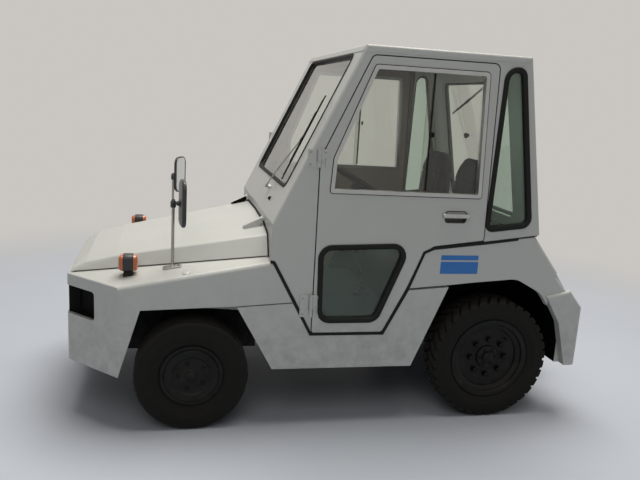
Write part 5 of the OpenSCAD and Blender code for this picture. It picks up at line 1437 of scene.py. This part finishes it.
# Sewn channels: their depth and width, the distance of the two long ones from a seat's middle, and how far
# up the cushion and the backrest the cross ones run
CHANNEL = (0.0045, 0.007)
CHANNEL_Y = 0.105
CUSHION_CHANNEL = 0.120
BACK_CHANNEL = 0.330
PIPING_SIDES = 8
PIPING_R = 0.004
PIPING_INSET = 0.009
PIPING_DROP = 0.014


def blown_up(pad):
    """The pad's mesh after a cloth simulation under pressure, with no point moved past SWELL_LIMIT."""
    start = [vertex.co.copy() for vertex in pad.data.vertices]
    cloth = pad.modifiers.new("cloth", "CLOTH")
    cloth.settings.use_pressure = True
    cloth.settings.uniform_pressure_force = PRESSURE
    cloth.settings.effector_weights.gravity = 0.0
    for number in range(1, PAD_FRAMES + 1):
        bpy.context.scene.frame_set(number)
    blown = evaluated_mesh(pad)
    pad.modifiers.clear()
    for vertex, first in zip(blown.vertices, start):
        step = vertex.co - first
        if step.length > SWELL_LIMIT:
            vertex.co = first + step.normalized() * SWELL_LIMIT
    bpy.context.scene.frame_set(1)
    return blown


def swollen(name, outline, plane, thickness):
    """A padded form: an outline raised over a plane, remeshed, blown up by cloth pressure and smoothed."""
    maker = bmesh.new()
    crown = [(-0.016, PAD_INSET), (-0.005, PAD_INSET + 0.004), (0.0, PAD_INSET + 0.014)]
    levels = crown + [(away, thickness - out) for away, out in crown[::-1]]
    add_levels(maker, plane, moved(outline, -PAD_INSET), levels)
    pad = in_scene(name, closed_mesh(name, maker))
    remesh = pad.modifiers.new("remesh", "REMESH")
    remesh.mode = "VOXEL"
    remesh.voxel_size = VOXEL
    even = evaluated_mesh(pad)
    pad.modifiers.clear()
    pad.data = even
    pad.data = blown_up(pad)
    finer = pad.modifiers.new("finer", "SUBSURF")
    finer.levels = finer.render_levels = 1
    result = evaluated_mesh(pad)
    bpy.data.objects.remove(pad)
    return result


def sew(mesh, plane, lines):
    """Draws the pad in along sewn channels. Each line gives the distance from a channel at (u, v)."""
    depth, width = CHANNEL
    for vertex in mesh.vertices:
        local = vertex.co - plane.origin
        u, v, w = local.dot(plane.across), local.dot(plane.up), local.dot(plane.out)
        for line in lines:
            share = math.exp(-(line(u, v) / width) ** 2) * max(0.0, min(1.0, w / 0.05))
            vertex.co -= plane.out * depth * share


def piping_round(plane, outline, height):
    """Piping sewn round an outline."""
    maker = bmesh.new()
    turns = [2 * math.pi * k / PIPING_SIDES for k in range(PIPING_SIDES)]
    section = [(PIPING_R * math.cos(a), height + PIPING_R * math.sin(a)) for a in turns]
    add_strip(maker, plane, outline, section)
    return maker


def lay_on(piping, shape):
    """Moves each ring of the piping onto the pad's own surface."""
    surface = BVHTree.FromPolygons([vertex.co for vertex in shape.vertices],
                                   [tuple(face.vertices) for face in shape.polygons])
    vertices = list(piping.verts)
    count = len(vertices) // PIPING_SIDES
    for i in range(count):
        ring = [vertices[i + k * count] for k in range(PIPING_SIDES)]
        middle = sum((vertex.co for vertex in ring), Vector()) / PIPING_SIDES
        shift = surface.find_nearest(middle)[0] - middle
        for vertex in ring:
            vertex.co += shift


def mirrored(maker):
    """Turns a bmesh of a left piece into the right one."""
    for vertex in maker.verts:
        vertex.co.y = -vertex.co.y
    bmesh.ops.reverse_faces(maker, faces=maker.faces)


def seat_forms():
    """Cushion and back of the left seat: name, outline, plane, thickness and channels."""
    low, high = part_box("seat_left")
    width = high.y - low.y
    y = (low.y + high.y) / 2
    cushion_plane = Plane((high.x - CUSHION_LENGTH / 2, y, low.z), (0, 1, 0), (-1, 0, 0), (0, 0, 1))
    cushion = rounded(rectangle(width, CUSHION_LENGTH), CUSHION_RADII)
    up = Vector((-math.sin(BACK_TILT), 0, math.cos(BACK_TILT)))
    out = Vector((math.cos(BACK_TILT), 0, math.sin(BACK_TILT)))
    foot = Vector((high.x - BACK_SETBACK, y, low.z + BACK_FOOT_HEIGHT))
    back_plane = Plane(foot - out * BACK_DEPTH, (0, 1, 0), up, out)
    back = rounded(rectangle(width, BACK_HEIGHT, (0, BACK_HEIGHT / 2)), BACK_RADII, 8)
    return [("cushion", cushion, cushion_plane, CUSHION_THICKNESS,
             [lambda u, v: abs(u) - CHANNEL_Y, lambda u, v: v - CUSHION_CHANNEL]),
            ("backrest", back, back_plane, BACK_THICKNESS,
             [lambda u, v: abs(u) - CHANNEL_Y, lambda u, v: v - BACK_CHANNEL])]


def make_seats():
    for part, outline, plane, thickness, lines in seat_forms():
        shape = swollen("seat_" + part, outline, plane, thickness)
        sew(shape, plane, lines)
        piping = piping_round(plane, moved(outline, -PIPING_INSET), thickness - PIPING_DROP)
        lay_on(piping, shape)
        bead = closed_mesh("seat_piping_" + part, piping)
        for side, word in SIDES:
            for source, kind, padded in ((shape, part, True), (bead, part + "_piping", False)):
                maker = bmesh.new()
                maker.from_mesh(source)
                if side < 0:
                    mirrored(maker)
                thing = piece("seat_%s_%s" % (kind, word), maker, VINYL, smooth=75)
                if padded:
                    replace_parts(thing, "seat_" + word)


make_seats()
